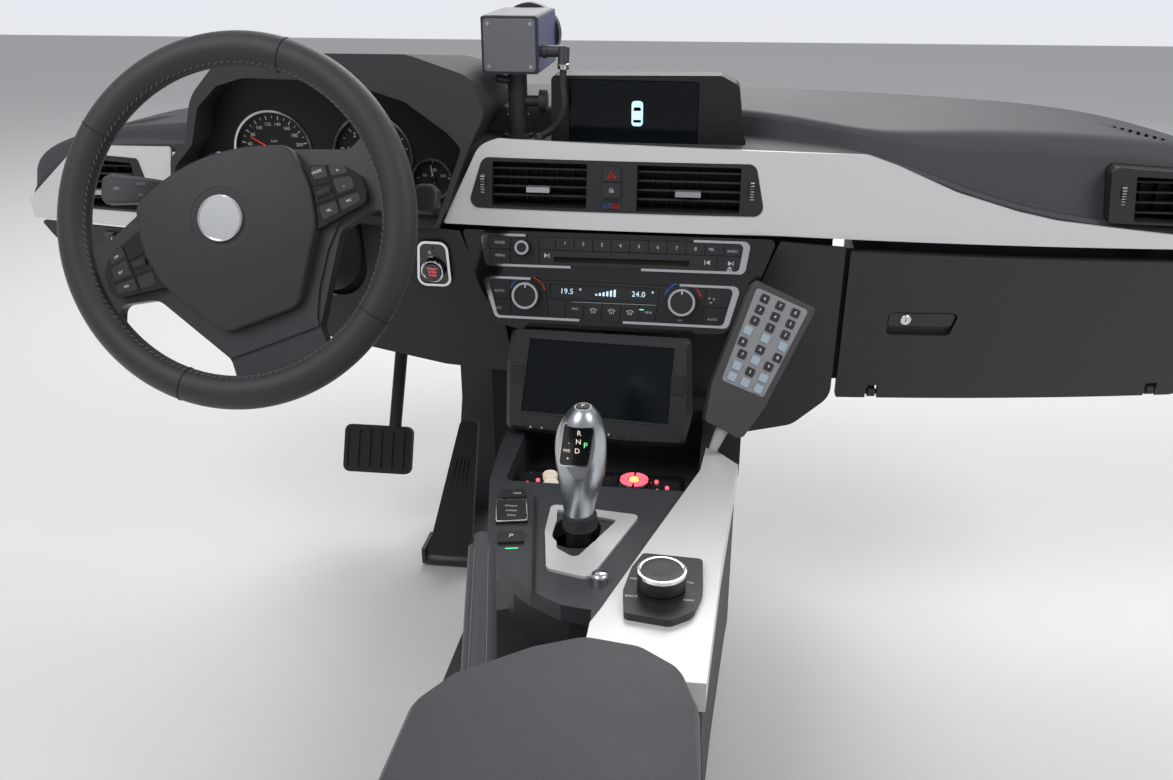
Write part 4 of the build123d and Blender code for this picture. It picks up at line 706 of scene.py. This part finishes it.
def makeRimStitches():
    # one row of short stitches round the inner side of the rim
    shape = bmesh.new()
    count, angle, proud = wheel["stitches"], math.radians(wheel["stitchTurn"]), 0.15
    radius = wheel["rim"] + (wheel["across"] + proud) * math.cos(angle)
    height = (wheel["deep"] + proud) * math.sin(angle)
    half = wheel["stitchHalf"] / radius
    for i in range(count):
        t = 2 * math.pi * (i + 0.5) / count
        points = []
        for turn, out in ((t - half, 0.9), (t + half, -0.9)):
            reach = radius + out
            points.append((reach * math.cos(turn), reach * math.sin(turn), height + out * 0.6))
        tubeMesh(shape, points, 0.4, 6)
    settle("rimStitches", shape, wheelSeat, "seamGrey", "steering_wheel")


makeWheelSeams()
makeWheelKeys()
makeRimStitches()
hoop("emblemRing", 20.6, 22.2, 31.2, 32.2, wheelSeat, "chromeRing", "steering_wheel")
print("wheel dressed")


# Stalks behind the wheel: a flat paddle on the left and a capped wiper stalk on the right

stalkShape = {
    # outline, corner radius, low, high, finish, edge round
    "leftStalk": ([(-50, 22), (-52, 40), (-126, 50), (-176, 55), (-186, 50), (-187, 27), (-180, 21),
                   (-126, 24)], 7, -84, -70, "stalkGrey", 3.5),
    "rightStalk": ([(50, 24), (52, 38), (124, 45), (158, 47), (160, 26), (124, 26)],
                   5, -83, -71, "stalkGrey", 4),
    "rightStalkCap": ([(161, 22), (161, 52), (180, 53), (187, 46), (187, 28), (180, 22)],
                      7, -85, -68, "stalkCap", 4),
}


def makeStalks():
    for name, (outline, corner, low, high, finish, edge) in stalkShape.items():
        made = slabs(name, [rounded(outline, corner)], low, high, columnSeat, finish, bevel=edge)
        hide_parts("stalks")
    words = [("OFF", -168, 38, 3), ("AUTO", -140, 44, 2.6), ("ON", -140, 32, 2.6)]
    lettering("stalkMarks", words, columnSeat, stalkShape["leftStalk"][3] + 0.1, "greyInk")


def seatOn(node, x, z):
    # a seat on the front of a node, square to its face there; the ray starts ahead of the dash
    ahead, reach = -0.7, 1
    tree = BVHTree.FromObject(nodes[node], bpy.context.evaluated_depsgraph_get())
    point, normal = tree.ray_cast(Vector((x * mm, ahead, z * mm)), Vector((0, 1, 0)), reach)[:2]
    return seat(tuple(point / mm), (1, 0, 0), tuple(normal))


def makeGloveboxLock():
    place = seatOn("glovebox_handle", 328, -101.4)
    profile = [(6.4, -1), (6.4, 0.8), (5.6, 1.5), (3.4, 1.2)]
    lathe("gloveboxLock", profile, place, "connectorSteel", "glovebox_door")
    slabs("gloveboxLockSlot", [box2(0, 0, 1, 5)], 1.2, 1.35, place, "slotBlack", "glovebox_door", 0)


makeStalks()
makeGloveboxLock()
print("stalks made")


# Vents: ticks on the thumbwheels, and the mixing wheel's cool and warm bars

ventWheels = {
    # x, z, node
    "ventWheel1": (-596.5, 15, "vent_left"), "ventWheel2": (-156, 46, "vent_centre"),
    "ventWheel3": (146, 46, "vent_centre"), "ventWheel4": (546, 42, "vent_right"),
}


def ventSeat(x, z):
    # a little in front of the dash's bowed face
    return frontSeat(x, bowY(x, z) - 8, z, 0.2)


def makeVentMarks():
    for name, (x, z, node) in ventWheels.items():
        ticks = [box2(0, -9 + 3 * i, 4.2, 0.6) for i in range(7)]
        mark(name + "Marks", ticks, ventSeat(x, z), "whiteInk", node)
    for name, start, finish in (("mixWheelCool", -8.5, "inkBlue"), ("mixWheelWarm", 1.8, "inkRed")):
        bars = [box2(start + 2.4 * i, 0, 1.1, 6) for i in range(4)]
        mark(name, bars, ventSeat(-9, 28), finish, "vent_centre")


makeVentMarks()


# Hazard and lock keys in the middle of the vents

def makeHazardMarks():
    outer, inner = [(-5.5, -3.4), (5.5, -3.4), (0, 5.4)], [(-3.3, -2.1), (3.3, -2.1), (0, 2.9)]
    signs = frame4(outer, inner) + [[(-1.9, -1.2), (1.9, -1.2), (0, 1.5)]]
    mark("hazardMark", signs, frontSeat(-9, -320, 60, 0.2), "inkRed", "hazard_block")
    padlock = [box2(0, -1.2, 5.4, 3.4), sector(0, 0.4, 1.3, 2.1, 0, 180, 8)]
    mark("lockMark", padlock, frontSeat(-9, -316, 44.5, 0.2), "greyInk", "hazard_block")


makeHazardMarks()


# Radio and climate panels

stack = {
    "face": 5.06, "ink": 0.02, "discFace": (1.02, 1.1), "windowFace": 3.1, "knobFace": (19.9, 20.3),
    "digits": (-59.5, -38.5, -17.5, 3.5, 24.5, 45.5, 66.5, 87.5),
    "climateKeys": (-24.5, -3.5, 17.5), "led": (30.5, -84.2),
    "knobs": (("left", -101, -74), ("right", 76, -73)),
}


def stackWords(*entries):
    return [(text, *onStack(x, z), size) for text, x, z, size in entries]


def stackMarks(name, outlines, finish, high=stack["ink"]):
    low = stack["face"] - stack["ink"]
    slabs(name, outlines, low, stack["face"] + high, stackSeat, finish, bevel=0)


def makeRadioMarks():
    digits = [(str(i + 1), x, -16, 4) for i, x in enumerate(stack["digits"])]
    words = stackWords(*digits, ("MODE", -135, -18, 3), ("MENU", -134, -32, 3), ("AUDIO", 128, -17, 2.6),
                       ("TEL", 105, -16, 3))
    lettering("radioNumbers", words, stackSeat, stack["face"], "paleInk")
    marks = []
    for x, way in ((127, 1), (101, -1), (-80, 1)):
        cx, cy = onStack(x, -30)
        marks.append([(cx - 3 * way, cy - 2.6), (cx + 1.6 * way, cy), (cx - 3 * way, cy + 2.6)][::way])
        marks.append(box2(cx + 2.6 * way, cy, 0.8, 5.2))
    cx, cy = onStack(126, -36)
    marks += [[(cx - 3, cy), (cx + 3, cy), (cx, cy + 3)], box2(cx, cy - 1.6, 6, 1)]
    stackMarks("radioArrows", marks, "paleInk")
    slot = [onStack(x, z) for x, z in ((-71, -31.4), (-70, -36.6), (80, -34.6), (81, -29.4))]
    slabs("discSlot", [slot], *stack["discFace"], stackSeat, "slotBlack", bevel=0)


def fanMark(x, y, size):
    # three blades: each is the outer arc of a sector, closed by its chord
    steps = 6
    blades = []
    for t in (0.4, 2.5, 4.6):
        turn = math.degrees(t)
        blade = sector(x + size * 0.45 * math.cos(t), y + size * 0.45 * math.sin(t), 0, size * 0.42,
                       turn - 70, turn + 70, steps)
        blades.append(blade[:steps + 1])
    return blades


def makeClimateMarks():
    window = stack["windowFace"]
    numbers = stackWords(("19.5", -56, -68.5, 6.2), ("24.0", 26, -68, 6.2))
    lettering("climateNumbers", numbers, stackSeat, window + 0.05, "litPale", spacing=1.06)
    rings = [sector(*onStack(x, z), 0.7, 1.2, 0, 360, 12) for x, z in ((-40.5, -65.6), (42, -65))]
    bars = [box2(*onStack(-22 + 4.2 * i, -70.5 + 0.5 * i), 2.4, 2 + 1.2 * i) for i in range(6)]
    slabs("climateBars", rings + bars, window, window + 0.06, stackSeat, "litPale", bevel=0)
    words = stackWords(("AUTO", -134, -71, 3), ("A/C", -134, -90, 3), ("AUTO", 110, -91, 2.8),
                       ("MAX", -45.5, -87, 2.6), ("OFF", 74, -94, 2.8), ("REAR", 38.5, -87, 2.4))
    lettering("climateWords", words, stackSeat, stack["face"], "paleInk")
    marks = []
    for x in stack["climateKeys"]:
        cx, cy = onStack(x, -88)
        marks.append(sector(cx, cy - 3, 5, 5.8, 40, 140, 8))
        marks += [box2(cx + side, cy - 1.2, 0.7, 3.4, turn) for side, turn in ((-2, 12), (0, 0), (2, -12))]
    marks += fanMark(*onStack(108, -70), 4.2)
    stackMarks("climateSigns", marks, "paleInk")
    for name, x, z in stack["knobs"]:
        cx, cy = onStack(x, z)
        for ending, finish, starts in (("KnobCool", "inkBlue", (110, 138)), ("KnobWarm", "inkRed", (18, 46))):
            arcs = [sector(cx, cy, 20.2, 21.6, start, start + 24, 6) for start in starts]
            stackMarks(name + ending, arcs, finish, 0.05)
        pointer = box2(cx, cy + 11.5, 1.2, 5)
        slabs(name + "KnobMark", [pointer], *stack["knobFace"], stackSeat, "whiteInk", bevel=0)
    led = box2(*onStack(*stack["led"]), 5, 1.1)
    slabs("greenLed", [led], stack["face"], stack["face"] + 0.3, stackSeat, "litGreen", bevel=0)
    stackMarks("climateStrip", [box2(*onStack(-1, -79), 96, 0.5, 0.6)], "greyInk")


makeRadioMarks()
makeClimateMarks()
print("stack marks made")


# Start button and light switch

def makeDashSwitchMarks():
    ringSeat = seat((-219, -292.6, -57), (1, 0, 0), (-0.07, -0.99, -0.13))
    hoop("startRing", 11.6, 13.8, -1.5, 1.8, ringSeat, "chromeRing")
    lathe("startCap", [(11.2, -1.5), (11.2, 1.2), (9.6, 1.9), (6, 1.5), (2, 1.4)], ringSeat, "pianoBlack")
    words = [("START", 0, 3.1, 3), ("STOP", 0, -1.1, 3), ("ENGINE", 0, -5, 2)]
    lettering("startWords", words, ringSeat, 2, "litRed")
    lettering("idleWord", [("A", -1, 24, 4.6), ("OFF", 0, 18.4, 2.4)], ringSeat, 1.6, "whiteInk")
    mark("lightMarks", [box2(0, 5.5, 1, 4)], frontSeat(-652, -260, -54, 0.2), "whiteInk", "dash_switches")


makeDashSwitchMarks()


# Centre console: the selector's face and trim, keys and controller

selector = {
    "at": (0, -611, -123), "lean": math.radians(-9),
    "face": [(-15.1, -92.3), (13.3, -96.3), (7.5, -134.5), (-20, -134.5)],
    "letters": (("R", -1, -103), ("N", -1.5, -111), ("D", -2.5, -119.5)), "park": (5, -114), "ink": 0.32,
    "neck": (-3, -593), "ribs": 7,
}


def onFace(x, z):
    # a point of the leaned face, from its x and z in the car
    return (x, (z - selector["at"][2]) / math.cos(selector["lean"]))


def makeSelectorFace():
    lean, ink = selector["lean"], selector["ink"]
    place = seat(selector["at"], (1, 0, 0), (0, -math.cos(lean), -math.sin(lean)))
    outline = [onFace(x, z) for x, z in selector["face"]]
    face = rounded(outline, 4)
    slabs("selectorFace", [face], 0, 0.2, place, "pianoBlack", "selector", 0)
    brightRim("selectorRim", face, middleOf(outline), 0.93, 0.2, 0.6, place, "selector")
    letters = [(text, *onFace(x, z), 4.8) for text, x, z in selector["letters"]]
    letters += [("M/S", -12, 3.5, 3), ("+", -11, -4, 3.6), ("-", -10.4, 11, 3.6)]
    lettering("selectorLetters", letters, place, ink, "litWarm", "selector")
    lettering("selectorPark", [("P", *onFace(*selector["park"]), 5.4)], place, ink, "litGreen", "selector")


def makeSelectorTrim():
    # the dark lock key on top and the ribbed collar at the neck
    place = topSeat(0, -593, -83)
    key = rounded(box2(0.5, 0, 12, 11), 3.5)
    slabs("selectorTopKey", [key], -2.5, 1.1, place, "keyBlack", "selector", 0.9)
    lettering("selectorTopMark", [("P", 0.5, 0, 4.5)], place, 1.16, "litWarm", "selector")
    profile = [(13, -208.4)]
    for i in range(selector["ribs"]):
        profile += [(15.6 - 0.1 * i, -208 + 2.1 * i), (16.8 - 0.1 * i, -207 + 2.1 * i)]
    profile.append((14, -193))
    lathe("selectorCollar", profile, worldSeat, "keyRubber", "selector", selector["neck"], 40)


makeSelectorFace()
makeSelectorTrim()

console = {
    "controller": (82, -703), "chromeButton": (26, -672), "down": (0, 0, -1),
    "modeKey": {"at": (-75, -565), "wide": 31, "high": 43, "turn": 12},
    "keyWords": (("P", -66, -612, 6), ("OFF", -76, -531, 3.4), ("SPORT", -77, -557, 3),
                 ("COMF", -75, -566, 3), ("ECO", -73, -575, 3)),
    "controllerWords": (("MENU", 82, -668, 3.4), ("MAP", 58, -690, 3), ("NAV", 106, -716, 3),
                        ("TEL", 106, -690, 3), ("BACK", 58, -716, 3)),
}


def makeConsoleParts():
    # the seam along the console, the controller's ring and top, the chrome button and the key marks
    controllerAt, key = console["controller"], console["modeKey"]
    seam = [(-58, -536), (-29, -705), (-26, -705), (-55.2, -536)]
    slabs("consoleSeam", [seam], 3.02, 3.3, consoleSeat, "seamBlack", bevel=0)
    hoop("controllerRing", 17.6, 20.9, 34, 37.6, consoleSeat, "chromeRing", "dash", controllerAt)
    top = [(17.4, 36.9), (14, 37.3), (9, 37.05), (3, 36.95)]
    lathe("controllerTop", top, consoleSeat, "keyBlack", at=controllerAt)
    dome = [(8.2, 5), (8.2, 6), (7.4, 7.6), (5.4, 8.9), (2.6, 9.5), (0.8, 9.6)]
    lathe("chromeDome", dome, consoleSeat, "chromeRing", at=console["chromeButton"], steps=32)
    slabs("consoleLed", [box2(-62, -629.5, 12, 1.2, 12)], 0.2, 0.5, consoleSeat, "litGreen", bevel=0)
    words = lettering("consoleWords", console["keyWords"], consoleSeat, 3.1, "whiteInk")
    drape(words, "console_switches", way=console["down"])
    outline = rounded(box2(*key["at"], key["wide"], key["high"], key["turn"]), 3)
    brightRim("modeKeyRim", outline, Vector(key["at"]), 0.94, 2.6, 3.5, consoleSeat)
    words = lettering("controllerWords", console["controllerWords"], consoleSeat, 20, "whiteInk")
    drape(words, "controller", way=console["down"])


makeConsoleParts()


# Lit pad in the tray under the stack

pad = {
    "at": (37, -469), "tray": -246, "top": -222, "outer": 15, "inner": 5.6,
    "keys": ((-54, -462), (-50, -480)),
    "leds": ((-66, -470), (-76, -478), (62, -478), (72, -470), (60, -458), (-38, -488)),
}


def makeLitPad():
    x, y = pad["at"]
    tray, top, inner = pad["tray"], pad["top"], pad["inner"]
    lathe("padRocker", [(18, tray), (18, top - 2), (16.6, top)], worldSeat, "pianoBlack", at=(x, y))
    quarters = [sector(x, y, inner + 1, pad["outer"], a + 5, a + 85, 8) for a in (0, 90, 180, 270)]
    slabs("litPad", quarters, top - 0.2, top + 1, worldSeat, "litRed")
    lathe("litPadMiddle", [(inner, top - 0.2), (inner - 1, top + 1.6)], worldSeat, "litOrange", at=(x, y))
    button = [(8, tray), (8, top - 3), (7, top - 1.6), (6.6, top - 2.2), (2, top - 2.4)]
    for i, at in enumerate(pad["keys"]):
        lathe("padButton%d" % i, button, worldSeat, "creamKey", at=at, steps=32)
    led = [(2.2, tray - 1), (2.2, top - 6), (1.2, top - 5)]
    for i, at in enumerate(pad["leds"]):
        lathe("padLed%d" % i, led, worldSeat, "litRed", at=at, steps=16)
    slabs("padBase", [rounded(box2(2, -465, 176, 50), 8)], tray - 1, top - 8, worldSeat, "pianoBlack")


makeLitPad()
print("console dressed")


# Police equipment: monitor, keypad remote and camera

monitor = {
    "glass": [(-77.5, 48.4), (83.4, 47.4), (81.4, -35.4), (-83.4, -32.4)],
    "lip": [(-78, 49), (84, 48), (82, -36), (-84, -33)],
    "rim": [(-80.4, 51.2), (86.4, 50.2), (84.4, -38.2), (-86.4, -35.2)],
    "clips": ((-90, 10), (90, 8)), "dots": 3,
    "keys": ((-72, -50), (-59, -50), (17, -52), (31, -52), (45, -52)),
}


def makeMonitor():
    slabs("monitorGlass", [monitor["glass"]], -2, -1.4, monitorSeat, "screenGlass", bevel=0.2)
    border = frame4(monitor["rim"], monitor["lip"])
    slabs("monitorLip", border, 0, 0.6, monitorSeat, "caseBlack", bevel=0.25)
    clips = [rounded(box2(x, y, 14.6, 20.6), 1.5) for x, y in monitor["clips"]]
    slabs("monitorClips", clips, 1, 1.8, monitorSeat, "pianoBlack", bevel=0.4)
    keys = [rounded(box2(x, y, 8, 5), 1.2) for x, y in monitor["keys"]]
    slabs("monitorKeys", keys, 0, 0.9, monitorSeat, "keyBlack")
    dots = [sector(x, y, 0.1, 0.9, 0, 359, 10) for x, y in monitor["keys"][:monitor["dots"]]]
    slabs("monitorDots", dots, 0.9, 1, monitorSeat, "whiteInk", bevel=0)


remote = {
    "face": [(-30.6, 153), (30, 154), (24.2, 48.8), (-24.1, 46.8)], "key": 9.3,
    # rows: height, how far out the side keys are; pale: height and side of the pale keys
    "rows": ((55, 15.5), (67.5, 15.5), (81, 15.5), (93.5, 20.5), (106.8, 20.5), (119.3, 18), (132.3, 18),
             (145.3, 18)),
    "pale": ((55, -1), (55, 0), (55, 1), (67.5, -1), (67.5, 1), (81, 0), (106.8, -1), (106.8, 0), (106.8, 1)),
    "signs": "1234567890ABCDEF",
}


def makeRemote():
    face = [rounded(remote["face"], 4)]
    slabs("remoteFace", face, 0, 0.35, remoteSeat, "remoteSilver", bevel=0.15)
    pales, darks, marks = [], [], []
    spots = [(side, up, out) for up, out in remote["rows"] for side in (-1, 0, 1)]
    for i, (side, up, out) in enumerate(spots):
        cap = rounded(box2(side * out, up, remote["key"], remote["key"]), 1.8, 3)
        if (up, side) in remote["pale"]:
            pales.append(cap)
        else:
            darks.append(cap)
            marks.append((remote["signs"][i % len(remote["signs"])], side * out, up, 3.4))
    slabs("remotePaleKeys", pales, 0.9, 1.5, remoteSeat, "keyPale")
    slabs("remoteDarkKeys", darks, 0.9, 1.5, remoteSeat, "keyRubber")
    lettering("remoteMarks", marks, remoteSeat, 1.56, "whiteInk")


def makeCameraParts():
    collar = [(5.4, 1), (6.4, 1.6), (6.4, 6), (5.4, 6.6)]
    collarSeat = seat((-71, -231, 166), (1, 0, 0), (0, -0.3, 1))
    lathe("plugCollar", collar, collarSeat, "connectorSteel", steps=24)
    side = seat((-99, -174, 191), (0, 1, 0), (1, 0, 0))
    slabs("cameraSide", [rounded(box2(0, 0, 116, 58), 4)], -0.2, 0.7, side, "cameraBlue")
    back = frontSeat(-131, -235, 191)
    slabs("cameraBack", [rounded(box2(0, 0, 59, 57), 5)], -0.2, 1.2, back, "cameraGrey", bevel=0.8)
    screws = [sector(x, y, 0.2, 2, 0, 359, 12) for x in (-24, 24) for y in (-23, 23)]
    slabs("cameraScrews", screws, 1.1, 1.7, back, "connectorSteel", bevel=0.2)
    roof = topSeat(-131, -174, 222)
    slabs("cameraRoof", [rounded(box2(0, 0, 60, 116), 5)], -0.2, 0.7, roof, "cameraGrey")
    grommet = [(8, 0), (7.6, 1.6), (6, 3), (4.6, 9), (4.3, 9.6)]
    lathe("cableGrommet", grommet, topSeat(-98, -238.6, 85.5), "keyRubber", steps=28)


cable = {
    "points": ((-71, -231, 166), (-71, -236.25, 149.5), (-69, -241, 132), (-72, -242, 115), (-82, -240, 101),
               (-96, -239, 92), (-98, -238.6, 88)),
    "steps": 6, "sides": 14, "radius": 3.9, "stiffness": "medium",
}


def makeCable():
    # the camera's braided cable, a smooth curve through the points of the CAD cable's route
    points = [Vector(p) for p in cable["points"]]
    last = len(points) - 1
    route = []
    for i in range(last):
        before, start = points[max(i - 1, 0)], points[i]
        end, after = points[i + 1], points[min(i + 2, last)]
        for k in range(cable["steps"]):
            t = k / cable["steps"]
            square = (2 * before - 5 * start + 4 * end - after) * t ** 2
            cube = (3 * start - before - 3 * end + after) * t ** 3
            route.append(0.5 * (2 * start + (end - before) * t + square + cube))
    route.append(points[-1])
    shape = bmesh.new()
    tubeMesh(shape, route, cable["radius"], cable["sides"])
    made = settle("cameraLead", shape, worldSeat, "cableBraid", "dash")
    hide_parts("camera_cable")
    length = sum((b - a).length for a, b in zip(route, route[1:])) * mm
    tuple(route[0] * mm)
    [tuple(point * mm) for point in route]


# the black sheet of painted shade behind the lower panels, standing in for the dark inside of the dash
shadeSheet = {
    "start": -440, "step": 20, "columns": 34, "end": 239, "behind": 25, "thick": 3, "top": 4, "foot": -104,
}


def makeLiner():
    # a black sheet of painted shade behind the lower panels, standing in for the dark inside of the dash, so
    # that no daylight shows through their joints
    shape = bmesh.new()
    thick, top, foot = shadeSheet["thick"], shadeSheet["top"], shadeSheet["foot"]
    section = ((0, top), (thick, top), (thick, foot), (0, foot))
    columns = []
    for x in [shadeSheet["start"] + shadeSheet["step"] * i for i in range(shadeSheet["columns"])] + [shadeSheet["end"]]:
        y = bowY(x, 0) + shadeSheet["behind"]
        columns.append([shape.verts.new((x * mm, (y + deep) * mm, z * mm)) for deep, z in section])
    bridge(shape, columns)
    settle("panelShadeSheet", shape, worldSeat, "feltBlack", "dash")
    # painted shade: a black sheet behind the gap by the tunnel, standing in for the dark inside there
    slabs("tunnelShadeSheet", [rounded(box2(-149, -259.5, 22, 151), 4)], 0, 2, frontSeat(0, -264, 0), "feltBlack")


handbrake = {
    "pivot": (-42, -880, -286), "tip": (-72, -699, -172),
    "skirt": (-59, -792, -293.5), "skirtHalf": (21, 38), "collarUp": 96, "collarRadius": 14.9,
    "steps": 48, "levels": 12, "pleats": 5, "pleatDeep": 0.07, "lift": 0.8,
    "seamTurns": (62, 118), "seam": ((112, 14.7), (90, 14.3), (60, 13.6), (30, 12.9), (6, 12.4)),
}


def leverAxes():
    # the way along the lever and two ways across it
    along = (Vector(handbrake["tip"]) - Vector(handbrake["pivot"])).normalized()
    side = along.cross((0, 0, 1)).normalized()
    return along, side, side.cross(along)


def makeGaiter():
    # leather gaiter from the console plate up to the handbrake lever
    along, side, up = leverAxes()
    low, high = Vector(handbrake["skirt"]), Vector(handbrake["pivot"]) + along * handbrake["collarUp"]
    steps, levels, radius = handbrake["steps"], handbrake["levels"], handbrake["collarRadius"]
    wide, deep = handbrake["skirtHalf"]
    shape = bmesh.new()
    rings = []
    for level in range(levels + 1):
        share = level / levels
        spine = low.lerp(high, share)
        pleat = 1 + handbrake["pleatDeep"] * math.sin(share * handbrake["pleats"] * math.pi) * (1 - share)
        ring = []
        for i in range(steps):
            t = 2 * math.pi * i / steps
            c, s = math.cos(t), math.sin(t)
            square = (abs(c) ** 4 + abs(s) ** 4) ** -0.25
            base = low + Vector((c * square * wide, s * square * deep, 0))
            top = high + side * c * radius + up * s * radius
            point = base.lerp(top, share ** handbrake["lift"])
            ring.append(shape.verts.new(((point - spine) * pleat + spine) * mm))
        rings.append(ring)
    bridge(shape, rings, capped=False)
    made = settle("handbrakeGaiter", shape, worldSeat, "gripSkin", None, angle=60)
    tuple(low * mm)
    tuple(high * mm)
    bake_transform(made)


def makeDisplayPicture():
    # a small plan view of a car on the display
    place = frontSeat(12.5, -262, 117)
    glass = [rounded([(-4.6, 3), (4.6, 3), (3.6, 7), (-3.6, 7)], 1),
             rounded([(-4.2, -10), (4.2, -10), (4.8, -7), (-4.8, -7)], 1)]
    mark("displayCar", [rounded(box2(0, 0, 13, 28), 4.5)], place, "litPale", "display_screen", 0.15)
    mark("displayCarGlass", glass, place, "slotBlack", "display_screen", 0.3)


makeCable()
makeLiner()
makeGaiter()
makeDisplayPicture()
makeMonitor()
makeRemote()
makeCameraParts()
print("equipment dressed")


# Soft parts: the armrest lid, and the seams of the handbrake's grip

armrest = {
    "plan": [(-62, -1145), (-60, -950), (-42, -920), (6, -884), (40, -868), (80, -874), (108, -894),
             (121, -930), (124, -985), (124, -1145)],
    "low": -162, "high": -126, "crown": 6.5, "edge": 0.955, "crownRings": 8, "seamUp": 16, "seamShare": 1.006,
}


def makeArmrest():
    outline = rounded(armrest["plan"], 22, 6)
    middle = middleOf(outline)
    low, high, edge = armrest["low"], armrest["high"], armrest["edge"]
    profile = [(0.99, low), (1.0, low + 4), (1.0, low + 14), (1.004, low + 18), (1.0, high - 10),
               (0.985, high - 4), (edge, high)]
    for i in range(armrest["crownRings"]):
        share = 0.9 - 0.11 * i
        profile.append((share, high + armrest["crown"] * (1 - (share / edge) ** 2)))
    shape = bmesh.new()
    rings = []
    for share, height in profile:
        ring = grown(outline, middle, share)
        rings.append([shape.verts.new((x * mm, y * mm, height * mm)) for x, y in ring])
    bridge(shape, rings)
    lid = settle("armrestPad", shape, worldSeat, "restSkin", "armrest_cover")
    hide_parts("armrest_lid")
    shape = bmesh.new()
    seam = [(x, y, low + armrest["seamUp"]) for x, y in grown(outline, middle, armrest["seamShare"])]
    tubeMesh(shape, seam, 0.8, closed=True)
    settle("armrestSeam", shape, worldSeat, "seamBlack", "armrest_cover")


def makeHandbrake():
    along, side, up = leverAxes()
    tip = Vector(handbrake["tip"])
    shape = bmesh.new()
    for turn in handbrake["seamTurns"]:
        t = math.radians(turn)
        way = side * math.cos(t) + up * math.sin(t)
        tubeMesh(shape, [tip - along * reach + way * radius for reach, radius in handbrake["seam"]], 0.5)
    settle("handbrakeSeams", shape, worldSeat, "seamGrey", "handbrake")


makeArmrest()
makeHandbrake()
print("soft parts made")


# Camera, floor and lamps

view = {
    "place": (124.94, -1469.01, 321.08), "yaw": 7.871, "pitch": 23.666, "roll": -0.247,
    "focalPixels": 1076.8, "widthPixels": 1173, "sensor": 36.0,
}


def makeCamera():
    data = bpy.data.cameras.new("photoCamera")
    camera = bpy.data.objects.new("photoCamera", data)
    bpy.context.scene.collection.objects.link(camera)
    yaw, pitch, roll = (math.radians(view[name]) for name in ("yaw", "pitch", "roll"))
    ahead = Vector((-math.sin(yaw) * math.cos(pitch), math.cos(yaw) * math.cos(pitch), -math.sin(pitch)))
    right = Vector((math.cos(yaw), math.sin(yaw), 0))
    up = right.cross(ahead)
    turned = right * math.cos(roll) + up * math.sin(roll)
    raised = up * math.cos(roll) - right * math.sin(roll)
    turn = Matrix((turned, raised, -ahead)).transposed().to_4x4()
    camera.matrix_world = Matrix.Translation(Vector(view["place"]) * mm) @ turn
    data.sensor_width = view["sensor"]
    data.sensor_fit = "HORIZONTAL"
    data.lens = view["focalPixels"] / view["widthPixels"] * view["sensor"]
    data.clip_start, data.clip_end = 0.02, 60
    bpy.context.scene.camera = camera


studio = {
    "floorSize": 14, "floorHeight": -0.53, "floorColor": (0.8, 0.8, 0.79),
    "worldColor": (0.93, 0.95, 1.0), "worldStrength": 0.42, "cameraStrength": 0.86,
    "lamps": (
        # name, place in metres, aim, size, watts
        ("keyLamp", (-1.5, -2.0, 2.4), (0, -0.4, -0.1), 2.2, 46),
        ("rightLamp", (2.1, -1.2, 1.9), (0.1, -0.4, -0.1), 1.8, 26),
        ("windowLamp", (0.1, 2.0, 1.9), (0, -0.4, -0.05), 2.6, 64),
    ),
}


def makeFloor():
    bpy.ops.mesh.primitive_plane_add(size=studio["floorSize"], location=(0, 0, studio["floorHeight"]))
    floor = bpy.context.object
    floor.name = "studioFloor"
    paint = Paint("floorPaint", studio["floorColor"], 0.7)
    paint.put("Roughness", paint.noise(3, 2) * 0.1 + 0.65)
    floor.data.materials.append(paint.material)


def makeStudio():
    # the world is brighter to the camera than it is as a light
    world = bpy.data.worlds.new("studioWorld")
    bpy.context.scene.world = world
    world.use_nodes = True
    tree = world.node_tree
    background = tree.nodes["Background"]
    rays = tree.nodes.new("ShaderNodeLightPath")
    level = tree.nodes.new("ShaderNodeMix")
    level.data_type = "FLOAT"
    level.inputs["A"].default_value = studio["worldStrength"]
    level.inputs["B"].default_value = studio["cameraStrength"]
    tree.links.new(rays.outputs["Is Camera Ray"], level.inputs["Factor"])
    tree.links.new(level.outputs["Result"], background.inputs["Strength"])
    background.inputs["Color"].default_value = (*studio["worldColor"], 1)
    for name, place, aim, size, watts in studio["lamps"]:
        data = bpy.data.lights.new(name, "AREA")
        data.shape = "DISK"
        data.size = size
        data.energy = watts
        made = bpy.data.objects.new(name, data)
        bpy.context.scene.collection.objects.link(made)
        made.location = place
        made.rotation_euler = (Vector(aim) - Vector(place)).to_track_quat("-Z", "Y").to_euler()
    bpy.context.scene.view_settings.view_transform = "Standard"


makeCamera()
makeFloor()
makeStudio()
print("camera and studio ready")
